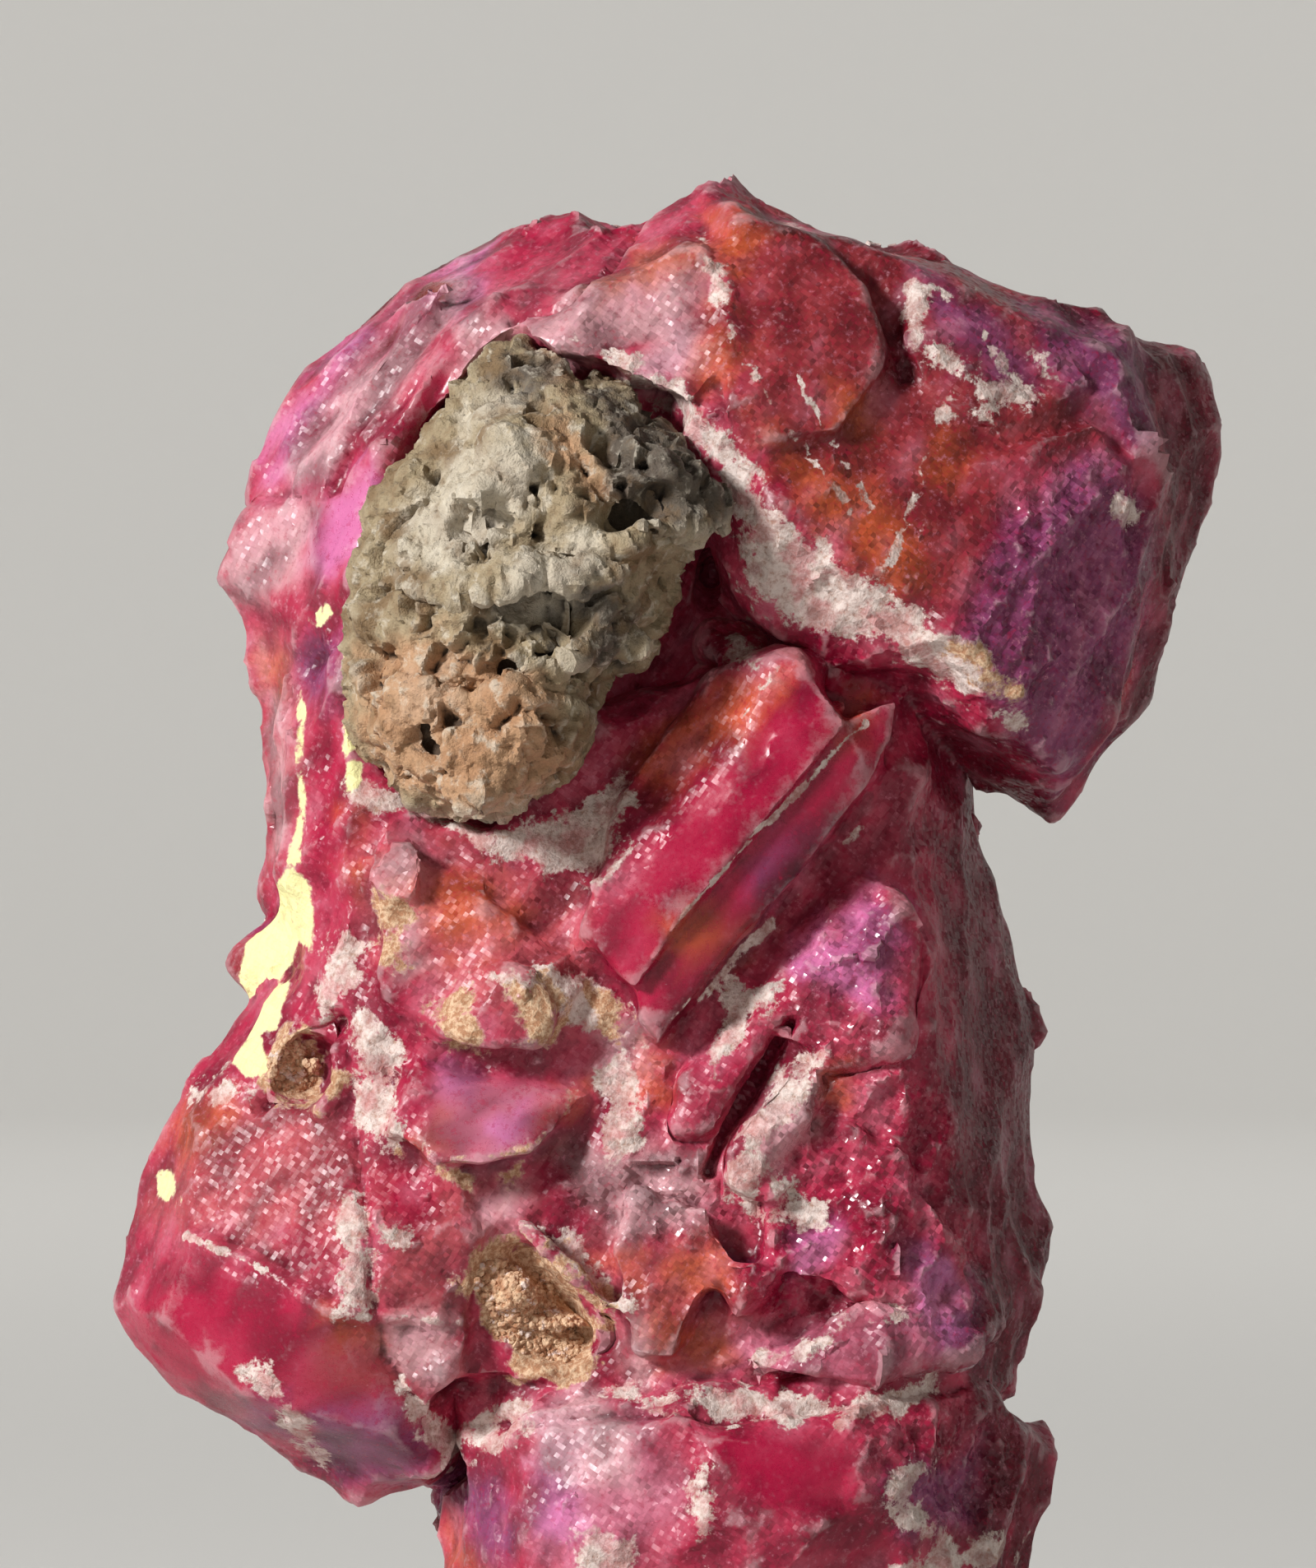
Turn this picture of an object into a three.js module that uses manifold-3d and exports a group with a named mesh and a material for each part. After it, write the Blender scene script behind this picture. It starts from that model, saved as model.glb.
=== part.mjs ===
// A rough ruby specimen: ruby crystals grown into one mass, holding a lump of
// their host rock in a hollow at the front. Millimetres, +Z up, front towards -Y.
// The origin lies on the flat broken face that the specimen stands on.
import * as THREE from "three";
import { ConvexGeometry } from "three/addons/geometries/ConvexGeometry.js";
import { ImprovedNoise } from "three/addons/math/ImprovedNoise.js";
import { mergeVertices } from "three/addons/utils/BufferGeometryUtils.js";
import Module from "manifold-3d";

const wasm = await Module();
wasm.setup();
const noise = new ImprovedNoise();

// Driving dimensions
const ROCK_FIT = 0.3; // gap between the host rock and the ruby around it
const ROCK_DETAIL = 11; // subdivisions of the host rock's main mass
const KNOB_DETAIL = 4; // subdivisions of the smaller knobs that stand on it
const PIT_DETAIL = 2; // subdivisions of the weathered pits in it
const ROCK_ROUNDING = 20; // how sharply the rock's rough faces meet: higher is sharper
const ROCK_RELIEF = [
  { width: 2.4, depth: 0.55 }, // lumps
  { width: 1.1, depth: 0.4 }, // knobbly bumps on the lumps
];
const WELD = 1e-4; // points closer together than this become one

// Ruby crystals: each is a flat-faced block, given by its corners [x, y, z].
const CRYSTALS = {
  // The large block at the upper right. Its front dips to the right, and its lower
  // left flank falls back into the hollow.
  head: [
    [0.8, -0.5, 35.8], [1.8, -3.0, 35.2], [6.0, -2.6, 34.1], [10.6, -2.2, 32.1],
    [11.9, -2.0, 30.0], [12.0, -2.0, 26.6], [10.8, -2.6, 22.8], [9.7, -2.8, 21.6],
    [8.5, -5.2, 23.8], [6.0, -6.0, 25.9], [3.0, -6.2, 28.0], [1.4, -5.8, 30.0],
    [0.4, -5.2, 31.3], [0.9, -4.2, 33.6], [13.1, 2.0, 31.8], [13.3, 2.5, 28.4],
    [12.9, 2.0, 26.0], [12.0, 1.5, 23.4], [9.6, 1.0, 20.4], [2.0, -4.4, 25.6],
    [4.0, -4.8, 24.9], [7.3, -4.5, 23.3], [1.5, 7.5, 34.2], [9.0, 8.5, 31.5],
    [11.5, 7.5, 27.0], [8.5, 7.0, 21.5], [1.0, 8.5, 26.0],
  ],
  // Raised facets on the front of the head
  crest: [
    [6.2, -2.9, 33.9], [9.4, -2.6, 32.5], [10.4, -2.9, 31.0], [8.6, -4.0, 29.8],
    [6.6, -4.3, 30.6], [5.9, -3.9, 32.2], [7.0, 0.0, 33.0], [9.6, 0.0, 31.6],
    [7.0, 0.0, 30.6],
  ],
  sparkle: [
    [7.6, -4.5, 29.2], [10.6, -3.4, 30.2], [11.4, -2.9, 28.6], [11.5, -2.9, 26.2],
    [10.4, -3.4, 23.4], [8.6, -5.1, 24.2], [7.2, -5.3, 26.2], [8.4, 0.0, 28.6],
    [11.0, 0.0, 28.6], [10.4, 0.0, 24.2],
  ],
  brow: [
    [1.8, -3.4, 35.1], [4.0, -3.4, 34.6], [5.1, -4.0, 33.4], [5.6, -4.6, 31.4],
    [4.4, -5.5, 29.8], [2.2, -6.1, 29.4], [1.2, -5.4, 32.0], [2.0, 0.0, 34.6],
    [5.0, 0.0, 33.0], [3.0, 0.0, 30.0],
  ],
  // The sloping block at the upper left, with two ribs down its slope
  shoulder: [
    [-6.4, -4.2, 28.2], [-7.4, -4.2, 26.9], [-4.6, -4.4, 31.4], [-3.4, -4.2, 32.6],
    [-1.0, -3.6, 33.8], [-9.7, -0.4, 28.2], [-9.4, 0.0, 30.4], [-8.1, 0.2, 32.0],
    [-6.3, 0.3, 33.6], [-3.8, 0.2, 34.9], [-2.0, 0.0, 35.3], [-0.3, 0.2, 34.9],
    [-7.5, 5.5, 31.0], [-2.5, 7.0, 33.8], [-8.0, 5.0, 27.5], [-1.0, 9.0, 28.0],
    [0.5, 7.5, 33.5],
  ],
  rib_outer: [
    [-5.6, -1.9, 33.6], [-4.9, -2.3, 33.5], [-8.9, -2.1, 28.4], [-8.2, -3.0, 28.2],
    [-7.4, -2.9, 30.8], [-6.8, 0.0, 32.0], [-8.0, 0.0, 29.0],
  ],
  rib_inner: [
    [-3.9, -3.4, 33.4], [-3.4, -3.8, 33.0], [-6.6, -4.3, 29.6], [-7.2, -4.2, 27.6],
    [-7.6, -3.6, 28.4], [-5.5, -4.2, 31.2], [-5.0, 0.0, 31.0], [-7.0, 0.0, 28.0],
  ],
  elbow: [
    [-10.7, -0.8, 26.5], [-10.4, -0.4, 27.3], [-9.5, -1.5, 28.1], [-6.9, -4.3, 28.4],
    [-6.8, -4.7, 26.0], [-8.6, -3.0, 25.2], [-10.2, -0.6, 24.9], [-9.5, -0.2, 23.0],
    [-6.9, -4.5, 24.4], [-8.5, 4.5, 27.0], [-8.0, 4.5, 23.5], [-4.0, 3.0, 28.0],
    [-4.0, 3.0, 23.0],
  ],
  ledge: [
    [-3.4, -4.6, 32.5], [-2.0, -4.4, 33.4], [0.8, -4.2, 34.2], [1.8, -4.5, 33.8],
    [1.9, -5.5, 31.8], [0.8, -5.9, 30.5], [0.0, -5.5, 31.1], [-1.6, -5.4, 31.6],
    [-3.2, -5.2, 32.1], [-3.0, 0.0, 33.8], [0.8, -0.5, 35.7], [2.2, 0.0, 31.0], [-3.6, 0.0, 32.0],
  ],
  // The ground behind the host rock, and the floor of the dark hollow beside it
  socket: [
    [-7.4, -3.8, 26.0], [-6.4, -3.6, 28.4], [-4.0, -3.8, 32.0], [-0.5, -3.8, 31.5],
    [2.0, -2.4, 31.6], [1.5, -2.0, 30.0], [1.0, 0.0, 26.0], [-0.5, 0.5, 25.0],
    [-7.4, -4.0, 21.0], [-2.0, -2.5, 21.0], [0.5, -1.0, 23.5], [-5.0, 8.0, 30.0], [1.0, 9.0, 30.0],
    [1.0, 9.0, 22.0], [-6.0, 8.0, 22.0],
  ],
  hollow_floor: [
    [-0.5, -1.0, 25.6], [2.5, -0.8, 26.5], [5.0, -1.5, 24.6], [6.8, -0.5, 22.4],
    [6.6, -2.6, 23.0], [2.5, -1.2, 23.5], [0.0, -2.0, 23.5], [1.0, 9.0, 26.0],
    [6.0, 8.0, 25.0], [6.0, 8.0, 21.0], [0.0, 9.0, 22.0],
  ],
  stub: [
    [1.2, -2.6, 25.1], [2.5, -3.0, 25.0], [2.8, -3.8, 24.3], [1.6, -3.8, 24.2],
    [1.1, -3.2, 24.6], [1.2, 0.0, 24.6], [2.8, 0.0, 24.6],
  ],
  waist: [
    [-9.6, -0.2, 23.4], [-9.4, 0.0, 21.6], [-9.2, 0.0, 19.8], [-9.6, 0.3, 18.6],
    [-8.9, -2.6, 22.8], [-8.6, -2.9, 19.5], [-7.5, -4.5, 24.5], [-7.4, -4.8, 20.5],
    [-7.6, -4.8, 17.5], [-9.0, -2.4, 17.0], [-9.4, 0.5, 16.0], [-8.6, -3.5, 15.6],
    [-7.5, 5.5, 23.0], [-7.5, 6.0, 16.0], [-3.0, 8.0, 23.0], [-3.0, 8.0, 15.0],
    [-4.0, -4.0, 24.0], [-4.0, -4.0, 15.0],
  ],
  knob: [
    [-10.6, -0.4, 16.9], [-10.3, -0.6, 17.6], [-9.1, -1.8, 18.3], [-9.6, -2.0, 16.9],
    [-10.0, -0.6, 15.8], [-8.8, -2.9, 16.2], [-10.3, 0.8, 16.9], [-9.4, 1.0, 18.0],
    [-9.4, 1.0, 15.6], [-8.0, 1.0, 17.0],
  ],
  hip: [
    [-11.1, -0.6, 14.2], [-10.6, 0.0, 15.2], [-10.2, -0.5, 15.6], [-9.5, -2.5, 16.6],
    [-7.2, -4.8, 17.2], [-6.4, -5.0, 15.0], [-6.6, -5.2, 13.0], [-9.6, -4.0, 13.2],
    [-11.0, -3.0, 13.6], [-10.0, 3.5, 15.0], [-10.5, 3.5, 13.0], [-6.0, 6.0, 16.0],
    [-6.0, 6.0, 13.0],
  ],
  torso: [
    [-7.2, -4.8, 20.4], [-2.0, -4.8, 20.6], [-7.0, -5.0, 14.8], [-1.2, -5.4, 15.8],
    [-4.0, -5.4, 14.6], [-1.6, -5.4, 17.6], [3.2, -4.2, 24.4], [0.0, -3.6, 23.8],
    [5.8, -3.6, 23.6], [6.2, -4.4, 17.4], [5.8, -4.6, 15.2], [6.4, -4.8, 12.0],
    [7.4, -4.4, 10.4], [7.8, -4.2, 8.4], [0.0, -5.2, 7.2], [6.0, -4.8, 7.6],
    [-4.8, -4.8, 6.8], [-5.2, -5.2, 11.6], [7.8, 1.5, 19.2], [8.8, 2.0, 17.6],
    [9.1, 2.0, 13.6], [8.6, 1.5, 11.2], [9.6, 2.0, 8.8], [9.0, 1.5, 7.2],
    [7.0, -0.5, 22.4], [-5.0, 8.5, 20.0], [4.0, 9.5, 20.0], [6.5, 8.0, 12.0],
    [-5.0, 8.0, 9.0], [5.0, 8.5, 6.0], [2.0, 9.5, 14.0],
  ],
  // The weathered mound below the host rock
  mound: [
    [-6.7, -5.0, 19.9], [-4.8, -5.4, 19.2], [-3.2, -5.5, 17.8], [-1.6, -5.7, 16.6],
    [-3.0, -6.1, 15.3], [-5.2, -6.0, 15.3], [-6.6, -5.6, 16.2], [-6.9, -5.4, 18.4],
    [-5.0, -2.0, 18.5], [-2.5, -2.0, 16.5], [-6.0, -2.0, 16.0],
  ],
  mound_knob: [
    [-4.9, -5.9, 16.8], [-3.6, -6.2, 16.9], [-2.6, -6.2, 16.0], [-2.9, -6.4, 15.1],
    [-4.4, -6.4, 15.1], [-5.3, -6.1, 15.8], [-4.0, -4.0, 16.6], [-3.0, -4.0, 15.4],
    [-4.8, -4.0, 15.4],
  ],
  small_prism: [
    [-6.7, -5.3, 20.0], [-5.9, -5.4, 20.1], [-5.5, -5.8, 19.6], [-5.7, -6.0, 18.6],
    [-6.5, -5.9, 18.4], [-7.0, -5.5, 19.0], [-6.2, -4.0, 19.8], [-6.2, -4.0, 18.6],
  ],
  // Two long parallel blades that stand proud of the middle of the front
  blade_upper: [
    [1.0, -4.8, 24.0], [-1.3, -5.2, 20.7], [-2.0, -5.6, 17.6], [3.3, -6.0, 24.4],
    [-1.2, -6.4, 19.2], [-1.8, -6.2, 17.8], [4.5, -6.3, 22.8], [0.6, -6.8, 18.2],
    [-0.6, -6.5, 16.4], [1.0, 0.0, 24.0], [4.5, 0.0, 22.8], [-1.8, 0.0, 17.6],
    [-0.6, 0.0, 16.4],
  ],
  blade_lower: [
    [4.5, -6.0, 22.8], [0.6, -6.4, 18.2], [-0.6, -6.1, 16.4], [5.2, -5.8, 21.4],
    [2.6, -6.1, 18.1], [0.0, -6.1, 15.0], [5.8, -5.0, 23.4], [4.5, 0.0, 22.8],
    [5.8, 0.0, 23.4], [5.2, 0.0, 21.4], [-0.6, 0.0, 16.4], [0.0, 0.0, 15.0],
  ],
  cheek: [
    [1.8, -5.1, 16.2], [4.9, -4.8, 19.4], [5.9, -4.9, 18.6], [6.3, -5.0, 17.2],
    [5.8, -5.4, 15.0], [4.0, -5.6, 14.4], [3.0, -5.6, 15.2], [3.0, -2.0, 16.5],
    [5.5, -2.0, 18.0], [5.0, -2.0, 15.0],
  ],
  wedge: [
    [-6.2, -5.4, 14.6], [-1.6, -5.6, 13.9], [-3.1, -6.5, 12.4], [-5.4, -6.4, 12.2],
    [-6.6, -5.8, 13.0], [-2.4, -6.2, 13.0], [-6.0, -2.0, 14.0], [-2.0, -2.0, 14.0],
    [-3.0, -2.0, 12.0], [-6.0, -2.0, 12.0],
  ],
  // The splinter on each side of the cleft below the cheek
  splinter: [
    [1.6, -5.5, 15.6], [3.0, -5.5, 15.9], [2.3, -5.8, 14.3], [1.4, -6.0, 12.9],
    [0.4, -5.8, 12.9], [0.6, -5.6, 14.4], [1.8, -3.0, 15.0], [1.0, -3.0, 13.2],
  ],
  chunk: [
    [3.2, -5.5, 14.6], [4.0, -5.5, 14.4], [3.4, -5.8, 12.6], [3.0, -6.0, 11.2],
    [1.8, -6.1, 11.6], [1.6, -6.1, 12.6], [2.4, -5.9, 13.8], [3.2, -3.0, 13.8],
    [2.4, -3.0, 11.8],
  ],
  // The granular mass at the lower right of the front
  granular: [
    [2.6, -5.5, 12.4], [4.6, -5.4, 13.2], [6.0, -5.2, 12.2], [6.6, -5.1, 11.2],
    [7.6, -4.7, 9.8], [7.7, -4.6, 8.6], [4.6, -5.8, 9.0], [2.4, -5.9, 9.8],
    [3.0, -2.0, 12.0], [6.5, -2.0, 11.0], [6.5, -2.0, 8.9], [2.8, -2.0, 9.8],
  ],
  bead: [
    [1.4, -6.3, 9.9], [2.2, -6.6, 10.0], [2.9, -6.3, 9.5], [2.8, -6.2, 8.8],
    [2.0, -6.4, 8.5], [1.3, -6.2, 8.9], [1.6, -4.0, 9.9], [2.8, -4.0, 9.5],
    [2.2, -4.0, 8.6],
  ],
  amber_chunk: [
    [-0.6, -5.7, 11.4], [1.2, -5.9, 11.2], [1.8, -6.1, 10.2], [0.8, -6.3, 8.4],
    [0.4, -6.1, 7.4], [-0.8, -6.0, 7.6], [-0.9, -6.2, 8.8], [-1.2, -6.0, 10.2],
    [0.2, -3.0, 11.0], [1.0, -3.0, 8.2], [-0.6, -3.0, 8.0],
  ],
  // The thin plate along the upper right edge of the ochre pit
  plate: [
    [-3.5, -5.6, 10.9], [-3.1, -5.9, 10.8], [-1.1, -6.2, 8.8], [-1.0, -5.8, 8.4],
    [-3.3, -6.1, 10.5], [-1.3, -6.3, 8.6], [-3.2, -4.0, 10.8], [-0.9, -4.0, 8.8],
  ],
  // A low ledge along the bottom of the granular mass
  seam_ledge: [
    [1.9, -5.7, 7.5], [4.2, -5.6, 8.5], [7.2, -4.8, 8.8], [7.9, -4.0, 8.2],
    [7.6, -4.6, 7.6], [4.4, -5.9, 7.4], [2.2, -6.1, 6.9], [3.0, -3.0, 8.0],
    [7.0, -3.0, 8.2],
  ],
  // The rounded block that juts out at the lower left, and the web that joins it on
  lobe: [
    [-13.3, -0.8, 8.8], [-13.1, -0.5, 9.7], [-12.5, -0.5, 11.4], [-12.1, -0.6, 12.9],
    [-11.1, -0.8, 14.2], [-13.0, -0.7, 7.9], [-12.5, -0.8, 7.2], [-11.5, -0.8, 6.4],
    [-10.2, -0.8, 5.6], [-8.7, -0.8, 4.8], [-7.2, -0.8, 4.4], [-5.6, -0.8, 4.2],
    [-11.4, -4.2, 10.0], [-8.0, -5.9, 8.6], [-5.2, -5.6, 8.4], [-7.0, -5.0, 13.4],
    [-11.2, -3.0, 13.4], [-4.8, -5.4, 12.4], [-12.0, -3.6, 8.4], [-10.0, -4.2, 6.6],
    [-6.4, -4.6, 5.6], [-5.4, -3.2, 4.6], [-11.5, 3.5, 9.5], [-10.5, 3.5, 12.5],
    [-9.0, 4.5, 6.5], [-4.0, 5.0, 5.0], [-4.0, 6.0, 13.0],
  ],
  web: [
    [-7.2, -5.1, 13.2], [-5.0, -5.5, 12.4], [-4.4, -5.5, 10.8], [-4.6, -5.4, 7.0],
    [-5.6, -5.0, 6.2], [-6.6, -5.3, 7.6], [-6.8, -5.6, 10.0], [-6.0, 0.0, 12.0],
    [-5.0, 0.0, 7.0], [-7.0, 0.0, 9.0],
  ],
  seam: [
    [-5.0, -3.6, 7.4], [-4.6, -3.6, 5.2], [-3.4, -4.5, 5.6], [0.0, -5.3, 6.2],
    [0.0, -5.3, 7.6], [7.2, -4.2, 6.4], [7.4, -4.2, 8.0], [8.8, 0.0, 6.4],
    [8.8, 0.0, 8.0], [8.0, 7.0, 6.0], [8.0, 7.0, 8.0], [-4.0, 7.0, 6.0],
    [-4.0, 7.0, 8.0],
  ],
  // The lowest block. The many-cornered flat face under it is what the specimen stands on.
  foot: [
    [-3.6, -5.2, 6.0], [-1.2, -5.6, 6.7], [2.0, -5.4, 6.4], [7.6, -4.2, 7.0],
    [8.8, -2.5, 5.6], [-3.2, -5.6, 2.8], [1.0, -6.6, 5.6], [5.2, -6.2, 5.2],
    [2.0, -6.9, 3.6], [6.0, -5.6, 2.8], [8.6, -3.0, 4.0], [9.7, 1.0, 4.6],
    [9.6, 1.5, 5.4], [8.9, 1.0, 2.4], [8.5, 6.5, 5.0], [-2.0, 8.0, 5.0],
    [-4.5, -0.5, 0.0], [-4.2, -2.5, 0.0], [-3.0, -4.0, 0.0], [-0.6, -5.1, 0.0],
    [2.0, -5.4, 0.0], [4.3, -5.1, 0.0], [6.2, -4.1, 0.0], [7.6, -2.1, 0.0],
    [8.2, 0.5, 0.0], [8.2, 3.0, 0.0], [7.5, 5.3, 0.0], [5.6, 6.5, 0.0],
    [2.4, 6.9, 0.0], [-0.8, 6.5, 0.0], [-2.9, 4.8, 0.0], [-4.2, 2.2, 0.0],
  ],
  // The broken back of the mass, with two flat crystal faces on it, and its left flank
  back: [
    [0.5, 8.0, 33.2], [7.4, 8.8, 31.2], [-5.5, 6.6, 31.4], [-7.0, 6.6, 24.0],
    [7.4, 8.2, 26.0], [7.4, 6.0, 20.0], [7.4, 2.0, 19.4], [-7.0, 6.0, 17.0],
    [1.5, 10.2, 22.0], [-2.0, 9.8, 25.0], [5.0, 9.6, 17.0], [-5.0, 7.0, 7.0],
    [8.2, 7.4, 7.0], [7.6, 2.0, 12.0], [7.8, 6.2, 3.0], [-1.5, 7.4, 3.0],
    [2.0, 9.4, 8.0], [4.0, 0.0, 26.0], [-4.0, 0.0, 26.0], [4.0, 0.0, 6.0],
    [-4.0, 0.0, 8.0],
  ],
  saddle: [
    [-1.0, 0.4, 34.7], [1.6, 0.4, 35.0], [-1.0, 7.0, 33.2], [2.0, 7.2, 33.6],
    [-1.0, 0.0, 30.0], [2.0, 0.0, 30.0], [0.0, 8.0, 28.0],
  ],
  back_face_upper: [
    [-4.5, 8.4, 29.5], [2.0, 10.4, 30.0], [5.5, 10.2, 26.5], [3.5, 10.7, 22.5],
    [-2.5, 10.4, 22.0], [-5.5, 9.0, 25.5], [0.0, 5.0, 28.0], [1.0, 5.0, 24.0],
  ],
  back_face_lower: [
    [-3.5, 9.4, 18.5], [3.0, 10.7, 19.0], [6.2, 9.6, 15.5], [5.0, 9.8, 10.0],
    [-0.5, 10.0, 8.5], [-4.5, 9.0, 12.5], [0.0, 5.0, 16.0], [1.0, 5.0, 11.0],
  ],
  left_flank: [
    [-7.8, 5.2, 30.0], [-8.6, 4.0, 24.0], [-8.4, 3.5, 19.0], [-8.8, 4.6, 14.0],
    [-8.2, 5.0, 8.0], [-5.0, 7.6, 28.0], [-4.0, 7.6, 7.0], [-4.0, -1.5, 24.0],
    [-7.0, -2.5, 14.4], [-3.0, -2.0, 14.0], [-5.0, -2.0, 7.2], [-3.0, -2.0, 7.2],
  ],
  foot_left: [
    [-5.4, -1.5, 4.1], [-5.5, -1.0, 3.4], [-5.0, -1.0, 2.4], [-4.0, -4.2, 5.4],
    [-3.2, -4.8, 4.6], [-4.0, -4.0, 2.8], [-4.2, -2.5, 0.0], [-3.0, -4.0, 0.0],
    [-4.5, -0.5, 0.0], [-4.2, 2.2, 0.0], [0.0, -3.0, 0.0], [-5.0, 3.0, 4.0],
    [-4.0, 6.0, 3.5], [-3.0, -2.0, 6.0],
  ],
};

// Hollows weathered into the ruby, given by their corners in the same way
const HOLLOWS = {
  ochre_pit: [
    [-4.9, -7.5, 9.9], [-4.1, -7.5, 10.4], [-3.4, -7.5, 10.5], [-2.2, -7.5, 9.5],
    [-1.5, -7.5, 8.6], [-1.3, -7.5, 7.6], [-2.2, -7.5, 6.9], [-4.2, -7.5, 7.4],
    [-4.9, -7.5, 8.4], [-4.3, -4.7, 9.6], [-3.4, -4.3, 10.0], [-1.9, -3.4, 8.8],
    [-1.6, -3.2, 7.9], [-2.4, -3.9, 7.5], [-4.2, -4.7, 8.2],
  ],
  side_pit: [
    [-9.6, -5.5, 14.0], [-9.3, -5.5, 15.0], [-8.7, -5.5, 15.5], [-7.9, -5.5, 15.3],
    [-7.8, -5.5, 14.2], [-8.2, -5.5, 13.5], [-9.3, -5.5, 13.4], [-8.9, -2.6, 14.3],
    [-8.6, -2.8, 15.0], [-8.1, -2.6, 14.8], [-8.2, -2.8, 14.0],
  ],
  cleft: [
    [3.1, -7.0, 15.7], [3.3, -7.0, 15.5], [1.3, -7.0, 12.5], [1.6, -7.0, 12.2],
    [2.5, -4.8, 14.3], [1.6, -4.8, 12.9],
  ],
};

// The host rock: one main mass with knobs on it, each given by the corners of its
// rough block and then rounded and roughened
const ROCK_MASSES = [
  { // main mass
    detail: ROCK_DETAIL,
    corners: [
      [-3.6, -4.0, 32.5], [-2.0, -4.2, 31.9], [0.0, -4.8, 30.9], [1.3, -5.4, 29.5],
      [1.6, -5.8, 28.3], [0.4, -5.4, 25.8], [-0.5, -5.2, 24.2], [-2.0, -5.2, 21.6],
      [-3.0, -5.2, 20.3], [-4.8, -5.2, 20.0], [-6.6, -5.2, 20.9], [-7.6, -5.0, 21.9],
      [-7.7, -4.8, 25.9], [-7.0, -4.6, 27.6], [-6.4, -4.4, 29.2], [-5.0, -4.4, 31.0],
      [-5.0, -7.2, 28.6], [-3.4, -7.8, 29.8], [-1.0, -8.0, 29.2], [0.6, -7.6, 28.4],
      [-1.0, -8.4, 27.0], [-4.6, -8.4, 26.0], [-5.8, -7.6, 24.4], [-3.0, -8.6, 24.6],
      [-3.2, -7.8, 22.0], [-4.8, -7.6, 21.6], [-6.2, -6.9, 22.6], [-3.0, -1.5, 30.0],
      [-0.5, -2.0, 28.0], [-5.0, -1.5, 25.0], [-3.0, -1.5, 24.0], [-4.5, -2.2, 22.6],
    ],
  },
  { // beak at the upper right
    detail: KNOB_DETAIL,
    corners: [
      [-1.4, -7.0, 29.8], [0.4, -7.8, 29.0], [2.1, -6.2, 28.2], [1.7, -6.0, 27.3],
      [0.0, -8.0, 27.4], [-1.4, -8.3, 27.6], [0.8, -4.6, 28.8], [-0.8, -4.5, 28.0],
    ],
  },
  { // brow over the largest pit
    detail: KNOB_DETAIL,
    corners: [
      [-6.2, -6.8, 27.2], [-4.6, -8.4, 27.1], [-2.2, -9.0, 26.9], [-0.6, -8.4, 26.6],
      [-1.4, -8.6, 25.6], [-3.6, -9.0, 26.0], [-5.8, -7.8, 25.8], [-4.0, -5.0, 26.6],
      [-1.5, -5.0, 26.2],
    ],
  },
  { // knob beside that pit
    detail: KNOB_DETAIL,
    corners: [
      [-2.6, -8.0, 26.0], [-0.8, -8.2, 26.0], [-0.2, -7.0, 24.6], [-1.2, -7.4, 23.9],
      [-2.4, -8.4, 24.4], [-1.6, -5.0, 25.0],
    ],
  },
  { // lower knob
    detail: KNOB_DETAIL,
    corners: [
      [-6.8, -6.2, 24.0], [-5.4, -8.1, 23.6], [-3.2, -8.6, 23.6], [-2.0, -6.8, 23.2],
      [-2.3, -7.2, 21.3], [-4.2, -8.1, 20.9], [-6.2, -7.2, 21.3], [-6.9, -6.0, 22.0],
      [-4.4, -4.6, 22.4],
    ],
  },
];
// Bites and pits weathered into the host rock: centre [x, y, z] and radii [x, y, z]
const ROCK_PITS = [
  { centre: [1.3, -6.8, 26.2], radii: [1.2, 3.4, 1.0] }, // bite under the beak
  { centre: [-0.6, -7.4, 22.2], radii: [1.4, 3.4, 1.4] }, // bite beside the lower knob
  { centre: [-3.1, -9.0, 25.3], radii: [0.8, 1.5, 0.55] },
  { centre: [-2.5, -8.9, 24.6], radii: [0.55, 1.1, 0.5] },
  { centre: [-3.9, -8.5, 27.6], radii: [0.9, 0.9, 0.3] },
  { centre: [-0.5, -8.3, 27.9], radii: [0.8, 0.8, 0.35] },
  { centre: [-3.5, -8.8, 24.0], radii: [0.6, 0.9, 0.35] },
  { centre: [-5.6, -8.2, 22.4], radii: [0.35, 0.9, 0.45] },
  { centre: [-5.6, -8.3, 25.4], radii: [0.7, 0.9, 0.35] },
  { centre: [-2.2, -8.5, 28.3], radii: [0.5, 0.6, 0.35] },
  { centre: [-3.4, -6.6, 31.0], radii: [0.6, 0.7, 0.3] },
];

const RUBY_RED = new THREE.MeshStandardMaterial({ color: 0xa82d4d, roughness: 0.28, metalness: 0 });
const ROCK_BROWN = new THREE.MeshStandardMaterial({ color: 0x9c8468, roughness: 0.9, metalness: 0 });

// A closed geometry as a solid that can be joined and cut
function solidOf(geometry) {
  const bare = geometry.clone();
  bare.deleteAttribute("normal");
  bare.deleteAttribute("uv");
  const merged = mergeVertices(bare, WELD);
  const vertProperties = new Float32Array(merged.attributes.position.array);
  const triVerts = new Uint32Array(merged.index.array);
  return new wasm.Manifold(new wasm.Mesh({ numProp: 3, vertProperties, triVerts }));
}

function geometryOf(solid) {
  const { vertProperties, triVerts } = solid.getMesh();
  const geometry = new THREE.BufferGeometry();
  geometry.setAttribute("position", new THREE.BufferAttribute(vertProperties, 3));
  geometry.setIndex(new THREE.BufferAttribute(triVerts, 1));
  return geometry;
}

function hullOf(corners) {
  return new ConvexGeometry(corners.map((corner) => new THREE.Vector3(...corner)));
}

function block(corners) {
  return solidOf(hullOf(corners));
}

function joined(solids) {
  return solids.reduce((whole, piece) => whole.add(piece));
}

function middleOf(corners) {
  const sum = corners.reduce((total, corner) => total.add(new THREE.Vector3(...corner)), new THREE.Vector3());
  return sum.divideScalar(corners.length);
}

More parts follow.
